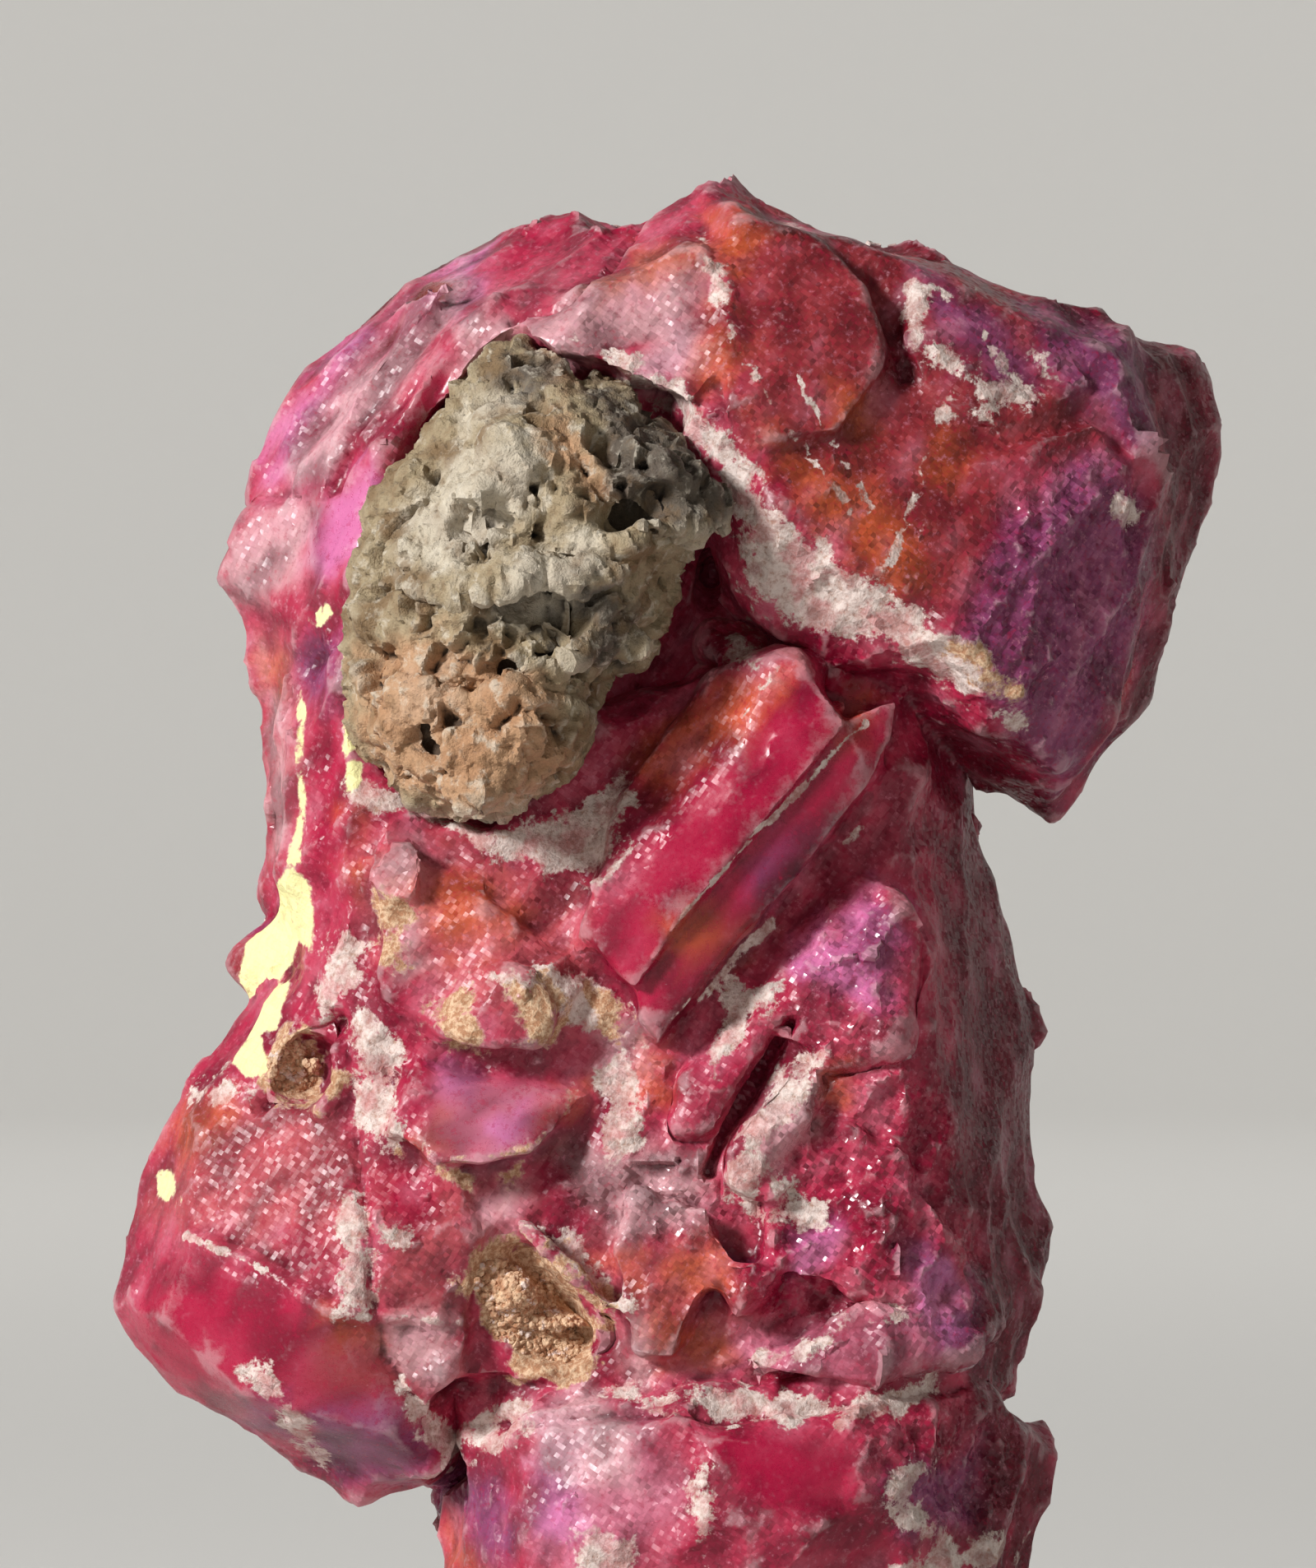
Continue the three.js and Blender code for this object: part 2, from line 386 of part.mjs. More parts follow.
// The planes of a hull's faces, seen from the point `middle` inside it
function facePlanes(hull, middle) {
  const place = hull.attributes.position;
  const planes = [];
  for (let i = 0; i < place.count; i += 3) {
    const corner = [0, 1, 2].map((k) => new THREE.Vector3().fromBufferAttribute(place, i + k).sub(middle));
    planes.push(new THREE.Plane().setFromCoplanarPoints(...corner));
  }
  return planes;
}

// A ball whose points are moved out along their own directions to reach(direction)
function ball(middle, detail, reach) {
  const geometry = new THREE.IcosahedronGeometry(1, detail);
  const place = geometry.attributes.position;
  for (let i = 0; i < place.count; i += 1) {
    const way = new THREE.Vector3().fromBufferAttribute(place, i).normalize();
    const point = way.clone().multiplyScalar(reach(way)).add(middle);
    place.setXYZ(i, point.x, point.y, point.z);
  }
  return solidOf(geometry);
}

// Height of the rock's lumpy relief at a point
function relief(point) {
  return ROCK_RELIEF.reduce((sum, { width, depth }) => {
    const spot = point.clone().divideScalar(width);
    return sum + depth * noise.noise(spot.x, spot.y, spot.z);
  }, 0);
}

// A rough block of rock with rounded edges and lumpy faces, swollen outwards by `grown`
function rockMass({ corners, detail }, grown = 0) {
  const middle = middleOf(corners);
  const planes = facePlanes(hullOf(corners), middle);
  return ball(middle, detail, (way) => {
    const closeness = planes.map((plane) => Math.max(0, plane.normal.dot(way) / -plane.constant));
    const sum = closeness.reduce((total, share) => total + share ** ROCK_ROUNDING, 0);
    const rounded = sum ** (-1 / ROCK_ROUNDING);
    return rounded + relief(way.clone().multiplyScalar(rounded).add(middle)) + grown;
  });
}

function pit({ centre, radii }) {
  const reach = new THREE.Vector3(...radii);
  const middle = new THREE.Vector3(...centre);
  return ball(middle, PIT_DETAIL, (way) => 1 / way.clone().divide(reach).length());
}

function hostRock() {
  const whole = joined(ROCK_MASSES.map((mass) => rockMass(mass)));
  return whole.subtract(joined(ROCK_PITS.map(pit)));
}

function rubyCrystals() {
  const grown = joined(Object.values(CRYSTALS).map(block));
  const hollows = joined(Object.values(HOLLOWS).map(block));
  const seat = joined(ROCK_MASSES.map((mass) => rockMass(mass, ROCK_FIT)));
  return grown.subtract(hollows).subtract(seat);
}

function piece(name, solid, material) {
  const mesh = new THREE.Mesh(geometryOf(solid), material);
  mesh.name = name;
  return mesh;
}

const specimen = new THREE.Group();
specimen.add(piece("ruby_crystals", rubyCrystals(), RUBY_RED));
specimen.add(piece("host_rock", hostRock(), ROCK_BROWN));

export default specimen;
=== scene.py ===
"""Dresses the ruby crystal: its fine surface with coatings, its host rock, loose grains and a stage."""

import math
import random

import bmesh
import bpy
import numpy as np
from bpy.props import FloatProperty, FloatVectorProperty, IntProperty, PointerProperty
from mathutils import Matrix, Vector, noise
from mathutils.bvhtree import BVHTree


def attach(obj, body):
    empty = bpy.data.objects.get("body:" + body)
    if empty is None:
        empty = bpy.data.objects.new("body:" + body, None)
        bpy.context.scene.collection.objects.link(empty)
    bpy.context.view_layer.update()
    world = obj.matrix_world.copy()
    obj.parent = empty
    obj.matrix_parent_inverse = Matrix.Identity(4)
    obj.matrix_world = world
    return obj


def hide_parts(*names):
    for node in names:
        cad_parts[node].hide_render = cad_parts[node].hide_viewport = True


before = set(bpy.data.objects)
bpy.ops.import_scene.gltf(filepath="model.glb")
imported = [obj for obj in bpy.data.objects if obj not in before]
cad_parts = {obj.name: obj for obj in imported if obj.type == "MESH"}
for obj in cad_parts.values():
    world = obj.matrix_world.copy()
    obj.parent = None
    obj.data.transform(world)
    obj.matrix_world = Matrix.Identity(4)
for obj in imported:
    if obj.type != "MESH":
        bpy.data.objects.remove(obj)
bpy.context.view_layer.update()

bl_info = {
    "name": "Ruby Crystal Specimen",
    "version": (1, 0, 0),
    "blender": (4, 5, 0),
    "location": "3D View > Sidebar > Specimen",
    "description": "Builds a rough ruby crystal with its host rock on a plain studio stage",
    "category": "Add Mesh",
}

# Units and the picture frame

MM = 0.001
PICTURE_HEIGHT = 1906
PICTURE_PIXEL = 0.02 * MM
VIEW_HEIGHT = 21.34 * MM
SENSOR = 36.0

# Lean of the crystals' common growth axis, and the turn of the small facets' three planes

GROWTH_TURN = math.radians(51)
FACET_TURN = (0.6, 0.9, 0.4)

# Where each finish lies on the ruby's front, as closed outlines in millimetres across and up

RUBY_PATCHES = {
    "blush": [
        [(-9.6, 27.6), (-8.6, 30.8), (-6.4, 33.0), (-4.4, 34.6), (-4.0, 33.4), (-6.0, 31.6), (-8.0, 29.6),
         (-8.4, 27.8)],
        [(-6.0, 12.6), (-5.0, 14.6), (-3.0, 14.4), (-1.8, 13.8), (-3.2, 12.2), (-4.8, 12.0)],
        [(-3.4, 3.0), (-2.8, 6.4), (-0.4, 6.2), (0.6, 4.6), (-0.4, 2.4), (-2.4, 2.2)],
        [(2.0, 8.6), (4.0, 8.4), (7.4, 9.4), (7.6, 7.6), (4.0, 7.0), (0.4, 7.2)],
    ],
    "salmon": [
        [(-6.8, 19.4), (-4.0, 19.6), (-1.8, 18.6), (-1.2, 17.0), (-2.0, 15.4), (-5.0, 15.8), (-6.6, 17.4)],
        [(-12.6, 11.0), (-12.0, 12.6), (-10.8, 13.8), (-7.6, 13.6), (-7.0, 10.6), (-8.2, 9.6),
         (-10.0, 10.2)],
        [(-1.4, 10.4), (2.2, 10.4), (2.4, 8.4), (1.0, 7.2), (-1.0, 7.2)],
        [(-6.8, 12.2), (-3.2, 11.8), (-3.0, 10.8), (-4.8, 9.6), (-4.8, 6.8), (-6.6, 7.6)],
        [(-7.2, 20.2), (-5.6, 19.8), (-5.4, 17.4), (-6.8, 16.4)],
        [(-9.8, 25.0), (-8.6, 24.6), (-8.8, 20.0), (-9.4, 19.6)],
    ],
    # Painted shade: the shadowed right flank, the head's top face and right side, the shadow right of the
    # head's dome and the shadow strip beside the blades' step
    "deep": [
        [(6.6, 23.6), (9.4, 22.0), (9.8, 12.0), (9.4, 2.0), (7.8, 2.0), (7.6, 6.0), (7.9, 10.0),
         (7.0, 12.0), (7.0, 18.0)],
        [(12.0, 32.4), (13.6, 32.0), (13.6, 24.0), (11.6, 20.6), (10.2, 21.4), (11.9, 25.2), (12.2, 28.6)],
        [(5.6, 33.6), (6.2, 33.4), (6.2, 31.0), (5.7, 30.6), (5.5, 32.0)],
        [(1.8, 34.9), (4.0, 35.6), (8.0, 34.4), (13.0, 32.6), (13.0, 32.0), (8.0, 33.7), (4.4, 34.6)],
        [(4.2, 21.0), (4.6, 20.6), (2.2, 17.8), (0.4, 16.0), (0.2, 16.4), (2.0, 18.4)],
    ],
    "crimson": [
        [(-1.8, 17.8), (-0.4, 19.4), (2.8, 24.6), (4.0, 25.0), (6.2, 23.8), (5.6, 21.2), (2.6, 18.2),
         (0.6, 15.4), (-0.2, 15.2), (-1.4, 16.6)],
        [(-13.0, 8.0), (-11.6, 9.6), (-10.0, 9.6), (-8.4, 8.4), (-8.8, 7.2), (-10.4, 6.8), (-12.0, 6.8)],
        [(-3.6, 12.0), (-2.2, 13.4), (-1.4, 13.8), (-1.6, 12.4), (-2.8, 11.6)],
        [(-5.2, 15.0), (-3.6, 15.0), (-1.8, 14.2), (-3.2, 14.1), (-4.8, 14.6)],
        [(-8.6, 23.0), (-7.6, 22.8), (-7.6, 18.4), (-8.0, 17.2), (-8.6, 17.4), (-8.5, 20.4)],
        [(1.0, 5.6), (3.0, 5.8), (4.8, 5.4), (4.6, 3.8), (3.2, 3.8), (2.0, 4.4)],
        [(4.0, 3.4), (5.2, 4.4), (5.4, 3.4), (4.4, 3.0)],
        [(6.3, 23.2), (9.0, 22.4), (9.0, 11.4), (6.6, 11.4), (6.4, 16.4)],
        [(-6.4, 30.4), (-5.2, 31.6), (-4.2, 31.4), (-4.8, 30.4), (-5.8, 29.2)],
        [(-3.2, 35.2), (-2.0, 35.3), (-0.2, 34.9), (-1.2, 34.4), (-2.4, 34.6)],
        [(-9.0, 10.4), (-8.0, 10.6), (-8.0, 9.6), (-8.8, 9.8)],
        [(-6.6, 12.4), (-5.2, 12.0), (-5.2, 10.4), (-6.4, 10.4)],
        [(1.6, 9.2), (2.0, 10.4), (3.4, 11.0), (5.2, 10.8), (4.8, 9.6), (3.0, 8.4)],
        [(6.2, 14.6), (7.0, 14.6), (7.0, 12.0), (6.0, 11.6), (5.8, 12.8)],
        [(-7.0, 16.8), (-6.2, 16.8), (-5.8, 15.2), (-5.6, 13.6), (-6.0, 12.4), (-6.2, 13.8), (-6.6, 15.4)],
    ],
    "brick": [
        [(1.7, 34.8), (3.6, 35.3), (7.0, 34.4), (12.4, 32.4), (12.6, 28.6), (10.8, 29.6), (8.6, 28.8),
         (7.4, 25.8), (6.2, 25.4), (3.4, 27.8), (1.9, 29.8)],
        [(-5.6, 20.2), (-4.4, 20.2), (-4.4, 19.2), (-5.2, 19.2)],
        [(-9.4, 19.4), (-10.0, 18.2), (-10.5, 16.8), (-10.2, 15.8), (-9.8, 16.4), (-9.8, 17.8)],
        [(-7.6, 8.6), (-6.4, 7.8), (-5.6, 6.4), (-7.6, 6.6), (-8.4, 7.6)],
    ],
    "violet": [
        [(7.6, 25.8), (8.6, 28.2), (10.6, 29.4), (12.0, 28.4), (12.0, 25.2), (10.8, 22.4), (9.8, 20.9),
         (8.4, 22.6), (7.2, 24.2)],
        [(8.8, 33.0), (11.8, 32.2), (12.3, 29.4), (11.0, 29.8), (9.6, 31.0)],
        [(6.4, 33.6), (8.0, 33.0), (9.2, 31.0), (8.0, 30.8), (6.6, 32.4)],
        [(-8.9, 24.4), (-8.5, 24.9), (-7.7, 25.0), (-7.6, 23.8), (-8.0, 23.2), (-8.7, 23.6)],
        [(-8.4, 6.0), (-6.6, 6.6), (-5.6, 5.6), (-5.8, 4.4), (-7.4, 4.4), (-8.2, 4.8)],
        [(-10.0, 6.4), (-9.2, 6.6), (-9.0, 5.6), (-9.8, 5.6)],
        [(-5.0, 4.6), (-3.8, 4.8), (-3.4, 3.2), (-4.0, 2.3), (-4.8, 2.8)],
        [(5.2, 5.2), (7.0, 4.8), (8.0, 5.8), (7.8, 3.4), (6.0, 3.4)],
        [(6.6, 9.6), (7.8, 9.2), (7.8, 7.6), (6.6, 7.6)],
        [(2.0, 19.2), (3.2, 20.2), (4.0, 20.2), (2.8, 18.8), (2.0, 18.4)],
    ],
    "orchid": [
        [(-8.6, 26.6), (-8.4, 27.6), (-7.6, 28.4), (-6.9, 29.2), (-6.4, 28.6), (-6.4, 27.6),
         (-6.9, 26.8), (-7.6, 26.3)],
        [(-9.6, 28.8), (-9.4, 30.0), (-9.0, 30.2), (-8.8, 29.6), (-9.1, 28.4), (-9.5, 28.2)],
        [(-9.0, 30.3), (-7.6, 32.2), (-7.2, 32.3), (-8.0, 31.0), (-8.7, 30.0)],
        [(-5.6, 33.8), (-4.2, 34.6), (-4.0, 33.8), (-4.8, 32.8), (-5.4, 33.0)],
        # Painted highlights: two pale orchid spots where light catches the wedge
        [(-4.2, 13.0), (-3.2, 13.8), (-2.8, 13.0), (-3.6, 12.5)],
        [(-5.1, 14.4), (-4.5, 14.4), (-4.5, 13.9), (-5.0, 13.8)],
        [(3.7, 17.8), (5.2, 18.8), (5.8, 18.2), (5.7, 17.2), (5.2, 15.8), (4.0, 16.4), (3.2, 17.0)],
        [(-3.2, 4.6), (-2.8, 6.0), (-2.0, 5.6), (-1.8, 3.6), (-2.2, 2.6), (-3.0, 3.4)],
        [(5.8, 10.4), (7.0, 9.8), (7.6, 8.0), (6.4, 8.4)],
        [(-0.4, 31.4), (0.4, 32.4), (1.0, 32.4), (0.9, 31.6), (0.2, 31.0)],
        [(3.2, 10.6), (4.2, 10.8), (4.4, 9.8), (3.4, 9.6)],
    ],
    "peach": [
        [(-4.8, 33.9), (-4.5, 33.7), (-5.2, 32.2), (-6.0, 31.0), (-7.0, 30.4), (-8.0, 29.2),
         (-8.9, 28.4), (-9.0, 29.0), (-8.0, 30.4), (-7.2, 31.4), (-6.0, 32.2)],
        [(-10.6, 26.6), (-10.0, 27.6), (-9.0, 28.4), (-8.3, 28.0), (-8.5, 26.6), (-8.8, 26.0),
         (-10.2, 25.5)],
        [(-3.6, 32.0), (-2.8, 33.0), (-0.8, 33.8), (0.6, 34.4), (1.2, 33.8), (1.0, 32.8), (0.0, 32.0),
         (-1.2, 31.6), (-2.4, 31.4)],
        [(-0.8, 31.6), (0.0, 32.6), (1.0, 32.8), (1.2, 31.8), (0.6, 30.8), (-0.2, 31.0)],
        [(-4.8, 32.4), (-3.6, 33.0), (-2.8, 33.4), (-3.2, 32.4), (-4.0, 31.4), (-4.6, 31.0), (-5.0, 31.4)],
        [(-9.6, 24.6), (-9.2, 23.4), (-8.8, 23.4), (-8.9, 21.4), (-9.1, 19.8), (-9.3, 19.8), (-9.4, 22.4)],
        [(-6.6, 8.4), (-5.2, 8.6), (-4.8, 7.4), (-5.2, 6.6), (-6.4, 7.4)],
        [(-4.3, 11.6), (-3.2, 11.8), (-3.2, 10.8), (-4.2, 10.6)],
        [(-3.2, 6.0), (-2.0, 6.6), (-0.8, 6.0), (-0.6, 4.4), (-2.0, 4.4), (-3.0, 4.8)],
        [(-1.1, 8.4), (-0.4, 8.6), (0.0, 7.6), (-0.4, 7.0), (-1.0, 7.4)],
        [(-1.6, 15.4), (-0.4, 15.6), (-0.2, 14.6), (-1.2, 14.2)],
        [(-6.7, 19.4), (-6.0, 19.9), (-5.7, 19.4), (-6.0, 18.8), (-6.6, 18.7)],
        [(-6.4, 18.4), (-5.8, 18.2), (-5.6, 16.8), (-6.0, 16.8)],
        [(-2.2, 12.4), (0.0, 12.6), (1.2, 12.0), (1.0, 10.8), (-0.8, 10.4), (-2.0, 11.0)],
        [(2.8, 14.0), (4.0, 14.2), (3.8, 13.0), (2.8, 11.8), (2.4, 12.4)],
        [(4.7, 20.4), (4.8, 21.3), (5.3, 21.2), (5.2, 20.4)],
    ],
    "amber": [
        [(-1.6, 33.5), (-0.6, 34.2), (0.8, 34.6), (1.2, 34.4), (1.0, 33.6), (-0.2, 33.4), (-1.2, 33.2)],
        [(1.1, 32.8), (1.6, 33.2), (2.0, 32.0), (1.8, 30.8), (1.0, 30.6), (0.6, 31.0), (1.0, 31.6)],
        [(1.2, 35.0), (2.0, 35.4), (3.2, 35.1), (2.6, 34.4), (1.8, 33.8), (1.4, 34.0)],
        [(2.4, 30.2), (3.4, 29.4), (4.6, 28.9), (6.2, 27.6), (6.6, 26.2), (5.8, 25.9), (3.8, 27.7),
         (2.6, 28.8)],
        [(6.6, 30.0), (7.2, 29.8), (7.0, 28.4), (6.4, 28.4)],
        [(4.2, 31.0), (5.2, 30.6), (5.0, 29.8), (4.2, 30.0)],
        [(-0.6, 21.8), (0.6, 23.2), (3.2, 24.4), (3.5, 24.2), (2.0, 22.4), (0.6, 21.4), (-0.2, 20.8)],
        [(0.0, 17.8), (1.0, 18.2), (2.6, 18.0), (2.0, 17.4), (0.8, 17.0), (0.2, 17.2)],
        [(-6.2, 18.8), (-5.4, 19.2), (-4.0, 19.0), (-3.2, 18.2), (-3.6, 17.6), (-4.8, 17.2), (-5.4, 17.8)],
        [(-9.7, 24.4), (-9.1, 24.4), (-9.1, 23.6), (-9.5, 23.7)],
        [(-7.5, 20.7), (-7.1, 20.7), (-7.2, 19.0), (-7.5, 19.2)],
        [(-0.4, 10.0), (1.0, 10.3), (2.0, 10.0), (1.6, 9.2), (0.2, 9.0)],
        [(-1.2, 9.9), (-0.4, 9.8), (0.0, 8.8), (-0.8, 9.0)],
        [(-0.2, 8.4), (1.0, 8.6), (1.6, 7.6), (0.2, 7.2)],
        [(-8.0, 8.5), (-7.0, 8.5), (-6.8, 8.0), (-7.4, 7.8)],
        [(-5.4, 3.6), (-4.8, 3.4), (-4.2, 2.3), (-5.1, 2.3)],
        [(-12.2, 12.4), (-11.4, 13.4), (-10.0, 13.8), (-10.2, 13.4), (-11.2, 12.4)],
        [(-0.6, 15.0), (0.0, 14.8), (0.1, 13.8), (-0.5, 13.8)],
        [(-5.6, 12.6), (-5.2, 13.4), (-5.0, 12.4)],
        [(-3.0, 13.4), (-1.8, 14.0), (-3.0, 12.6)],
        [(4.0, 14.4), (4.6, 14.6), (4.4, 13.6), (4.0, 13.4)],
        [(4.8, 23.6), (5.1, 23.4), (5.0, 22.4), (4.4, 22.2)],
    ],
    "grey_skin": [
        [(-2.0, 32.0), (-0.8, 31.8), (0.6, 31.0), (1.6, 29.6), (3.2, 27.6), (6.0, 25.6), (8.0, 24.6),
         (8.6, 23.6), (7.3, 23.4), (6.0, 24.4), (4.0, 24.9), (2.2, 25.5), (1.8, 27.6), (1.4, 29.0),
         (0.0, 30.6)],
        [(6.0, 33.6), (6.6, 33.4), (6.5, 32.4), (7.6, 31.4), (9.2, 30.8), (9.0, 30.4), (7.8, 30.6),
         (6.6, 31.6), (6.1, 32.4)],
        [(7.8, 30.6), (8.3, 30.6), (8.2, 30.0), (7.6, 30.0)],
        [(-4.8, 20.4), (-4.0, 20.4), (-2.4, 20.6), (-0.6, 21.4), (-0.5, 20.8), (-1.2, 19.8),
         (-1.6, 19.0), (-3.2, 19.4), (-4.2, 19.8)],
        [(-7.4, 21.4), (-6.0, 21.2), (-4.8, 20.4), (-4.0, 20.0), (-4.8, 20.2), (-6.0, 20.6), (-7.2, 20.7)],
        [(-8.3, 16.4), (-7.6, 17.8), (-7.0, 17.4), (-7.2, 16.6), (-8.0, 15.8), (-8.2, 15.4)],
        [(-7.4, 15.6), (-6.9, 15.8), (-6.2, 14.6), (-6.6, 14.2), (-7.2, 14.4), (-7.5, 15.0)],
        [(-7.2, 14.2), (-6.5, 14.4), (-6.1, 13.2), (-6.3, 12.5), (-7.2, 12.7), (-7.4, 13.4)],
        [(-1.6, 14.6), (-0.8, 15.0), (-0.2, 14.0), (-0.4, 12.6), (-1.2, 12.0), (-1.5, 12.8), (-1.3, 13.8)],
        [(-4.4, 16.9), (-2.4, 17.0), (-1.2, 16.4), (-0.8, 15.6), (-1.6, 15.2), (-2.8, 15.8)],
        [(-3.6, 11.0), (-2.6, 10.9), (-0.6, 8.8), (-0.9, 8.2), (-2.2, 9.7)],
        [(1.6, 16.6), (3.0, 16.6), (3.0, 16.1), (2.0, 15.2), (1.4, 14.4), (1.2, 14.6)],
        [(3.2, 14.6), (4.0, 14.8), (3.8, 14.2), (2.8, 12.8), (2.4, 11.0), (1.6, 11.4), (1.8, 12.8),
         (2.4, 13.6)],
        [(-1.2, 6.8), (0.0, 6.6), (2.0, 7.0), (2.6, 6.6), (5.2, 6.6), (6.6, 7.2), (6.6, 6.6), (5.0, 6.0),
         (2.4, 5.9), (0.4, 6.3), (-1.0, 6.3)],
        [(2.2, 7.4), (4.0, 8.2), (4.6, 8.6), (6.0, 8.8), (6.0, 8.5), (4.8, 8.3), (3.8, 7.7), (2.6, 7.1)],
        [(-6.2, 7.1), (-5.8, 6.6), (-5.1, 5.7), (-4.2, 5.7), (-3.6, 6.0), (-3.2, 6.6), (-3.0, 6.4),
         (-3.5, 5.4), (-4.6, 5.0), (-5.1, 4.6), (-5.3, 3.8), (-5.6, 4.4), (-5.4, 5.0), (-5.9, 5.8)],
        [(-10.2, 7.3), (-9.4, 7.2), (-8.6, 6.4), (-8.1, 4.8), (-8.6, 5.2), (-9.4, 6.4)],
        [(-7.8, 11.6), (-7.2, 11.6), (-6.9, 10.4), (-6.9, 8.6), (-7.8, 8.6), (-7.6, 10.0)],
        [(-7.0, 11.2), (-6.4, 10.8), (-5.9, 10.2), (-6.6, 10.2), (-7.0, 10.6)],
        [(-2.0, 3.4), (-1.2, 3.8), (-0.4, 3.0), (-0.8, 2.3), (-2.0, 2.3), (-2.1, 2.8)],
        [(5.6, 4.8), (6.6, 5.0), (6.2, 4.4), (6.5, 3.4), (7.0, 3.6), (7.0, 3.1), (6.0, 3.2), (5.7, 4.0)],
        [(5.6, 2.6), (7.0, 3.1), (8.8, 3.2), (8.6, 2.6), (7.0, 2.1), (5.2, 2.1)],
        [(1.6, 24.6), (1.8, 25.0), (2.4, 24.9), (2.3, 24.2), (1.7, 24.3)],
        [(1.1, 34.2), (1.5, 33.6), (1.8, 33.4), (1.7, 32.8), (2.1, 32.0), (1.9, 32.0), (1.4, 33.0)],
        [(-11.4, 13.8), (-10.6, 14.6), (-10.0, 14.2), (-9.8, 13.6), (-10.8, 13.5)],
        [(11.1, 28.4), (11.7, 28.0), (11.6, 27.6), (11.0, 28.0)],
        [(9.1, 31.8), (9.5, 31.8), (9.5, 31.3), (9.2, 31.3)],
        [(8.3, 22.9), (8.8, 22.8), (8.7, 22.5), (8.3, 22.6)],
        [(2.6, 11.8), (4.2, 11.4), (4.0, 10.8), (2.6, 10.8)],
        [(0.8, 5.0), (1.2, 5.2), (1.4, 3.6), (1.2, 2.8), (0.9, 3.4)],
    ],
    "ochre": [
        [(-4.8, 10.0), (-3.2, 10.6), (-2.0, 9.4), (-1.4, 8.4), (-1.3, 7.4), (-2.2, 6.8), (-3.2, 7.0),
         (-4.0, 8.0), (-4.6, 8.8)],
        [(-9.2, 15.2), (-8.4, 15.4), (-7.7, 14.8), (-7.7, 13.5), (-9.2, 13.6), (-9.4, 14.2)],
        [(-6.8, 18.8), (-6.5, 17.2), (-5.9, 16.8), (-6.0, 18.4)],
        [(-5.8, 16.6), (-5.2, 14.9), (-4.2, 15.0), (-4.6, 16.2)],
        [(-3.8, 16.4), (-3.6, 15.4), (-2.4, 15.1), (-2.2, 16.4), (-3.0, 16.8)],
        [(-1.8, 16.4), (-1.4, 15.0), (-0.8, 15.2), (-1.0, 16.2)],
        [(-3.2, 10.8), (-2.9, 10.7), (-0.9, 8.6), (-1.3, 8.4), (-2.2, 9.4)],
        [(-1.4, 8.6), (-0.9, 8.5), (-1.1, 7.8), (-1.3, 7.6)],
        [(7.0, 24.6), (7.8, 24.6), (8.6, 23.6), (7.8, 23.8)],
        [(-6.2, 12.4), (-5.2, 12.1), (-4.4, 11.9), (-3.6, 12.1), (-2.0, 13.9), (-3.5, 11.9), (-4.4, 11.7),
         (-5.2, 11.9)],
    ],
    "yellow_film": [
        [(-8.8, 23.6), (-8.6, 23.6), (-8.5, 22.8), (-8.6, 22.0), (-8.5, 21.2), (-8.5, 20.6),
         (-8.7, 19.4), (-9.0, 19.4), (-8.7, 20.6), (-8.7, 21.2), (-8.8, 22.0), (-8.7, 22.8)],
        [(-8.9, 19.4), (-8.4, 18.9), (-8.3, 17.8), (-8.4, 17.3), (-8.7, 17.5), (-8.9, 16.7),
         (-9.2, 15.4), (-10.0, 15.2), (-10.2, 16.6), (-9.9, 17.8), (-9.4, 18.8)],
        [(-10.0, 15.3), (-9.6, 15.2), (-9.4, 14.4), (-10.0, 14.2), (-10.3, 14.6)],
        [(-7.6, 24.8), (-7.3, 24.7), (-7.2, 24.4), (-7.5, 24.3)],
        [(-7.5, 23.4), (-7.3, 23.0), (-7.2, 22.2), (-7.6, 22.1), (-7.6, 22.8)],
        [(-7.5, 21.9), (-7.1, 21.9), (-7.2, 21.4), (-7.5, 21.1)],
        [(-8.5, 25.3), (-8.0, 25.7), (-7.8, 25.5), (-8.2, 25.1)],
        [(-12.2, 11.9), (-11.8, 12.1), (-11.7, 11.6), (-11.5, 11.3), (-11.7, 11.1), (-12.2, 11.4)],
    ],
    "sugary": [
        [(3.7, 17.8), (5.2, 18.8), (5.8, 17.2), (5.6, 14.8), (3.6, 14.4), (3.2, 16.6)],
        [(-2.2, 12.0), (-0.4, 12.4), (1.4, 12.0), (2.0, 10.4), (0.0, 10.4), (-1.6, 10.8)],
        [(3.6, 13.8), (5.2, 14.8), (6.8, 13.8), (7.2, 11.4), (7.8, 10.0), (7.8, 7.6), (5.8, 8.6),
         (3.2, 8.4), (2.0, 9.2), (2.6, 10.8)],
        [(7.8, 26.4), (8.8, 28.6), (10.6, 29.2), (11.8, 28.0), (11.6, 25.2), (10.4, 23.0), (9.0, 23.2),
         (7.6, 24.4)],
        [(5.0, 5.6), (7.0, 6.6), (8.6, 6.0), (8.6, 3.8), (6.0, 3.2), (5.2, 4.4)],
    ],
    "flat": [
        [(-1.6, 17.8), (-0.4, 19.4), (3.2, 24.0), (5.0, 23.6), (5.8, 23.2), (5.2, 21.2), (2.6, 18.2),
         (0.6, 15.8), (-0.2, 15.6), (-1.2, 16.8)],
        [(-13.0, 8.4), (-11.4, 10.2), (-8.0, 8.6), (-5.6, 6.4), (-5.8, 4.4), (-9.0, 5.2), (-12.0, 6.6)],
        [(-6.0, 12.8), (-5.2, 14.4), (-3.2, 14.4), (-1.8, 13.9), (-3.2, 12.4), (-4.8, 12.0)],
        [(-8.6, 26.6), (-8.4, 27.6), (-7.6, 28.4), (-6.9, 29.2), (-6.4, 28.6), (-6.4, 27.6),
         (-6.9, 26.8), (-7.6, 26.3)],
        [(1.0, 5.6), (3.0, 5.8), (4.8, 5.4), (4.6, 3.8), (3.2, 3.8), (2.0, 4.4)],
        [(-6.4, 30.4), (-5.2, 31.6), (-4.2, 31.4), (-4.8, 30.4), (-5.8, 29.2)],
    ],
    "calm": [
        [(1.4, 34.6), (4.4, 35.2), (9.0, 33.6), (10.6, 31.0), (8.0, 28.4), (7.0, 25.6), (3.4, 27.6),
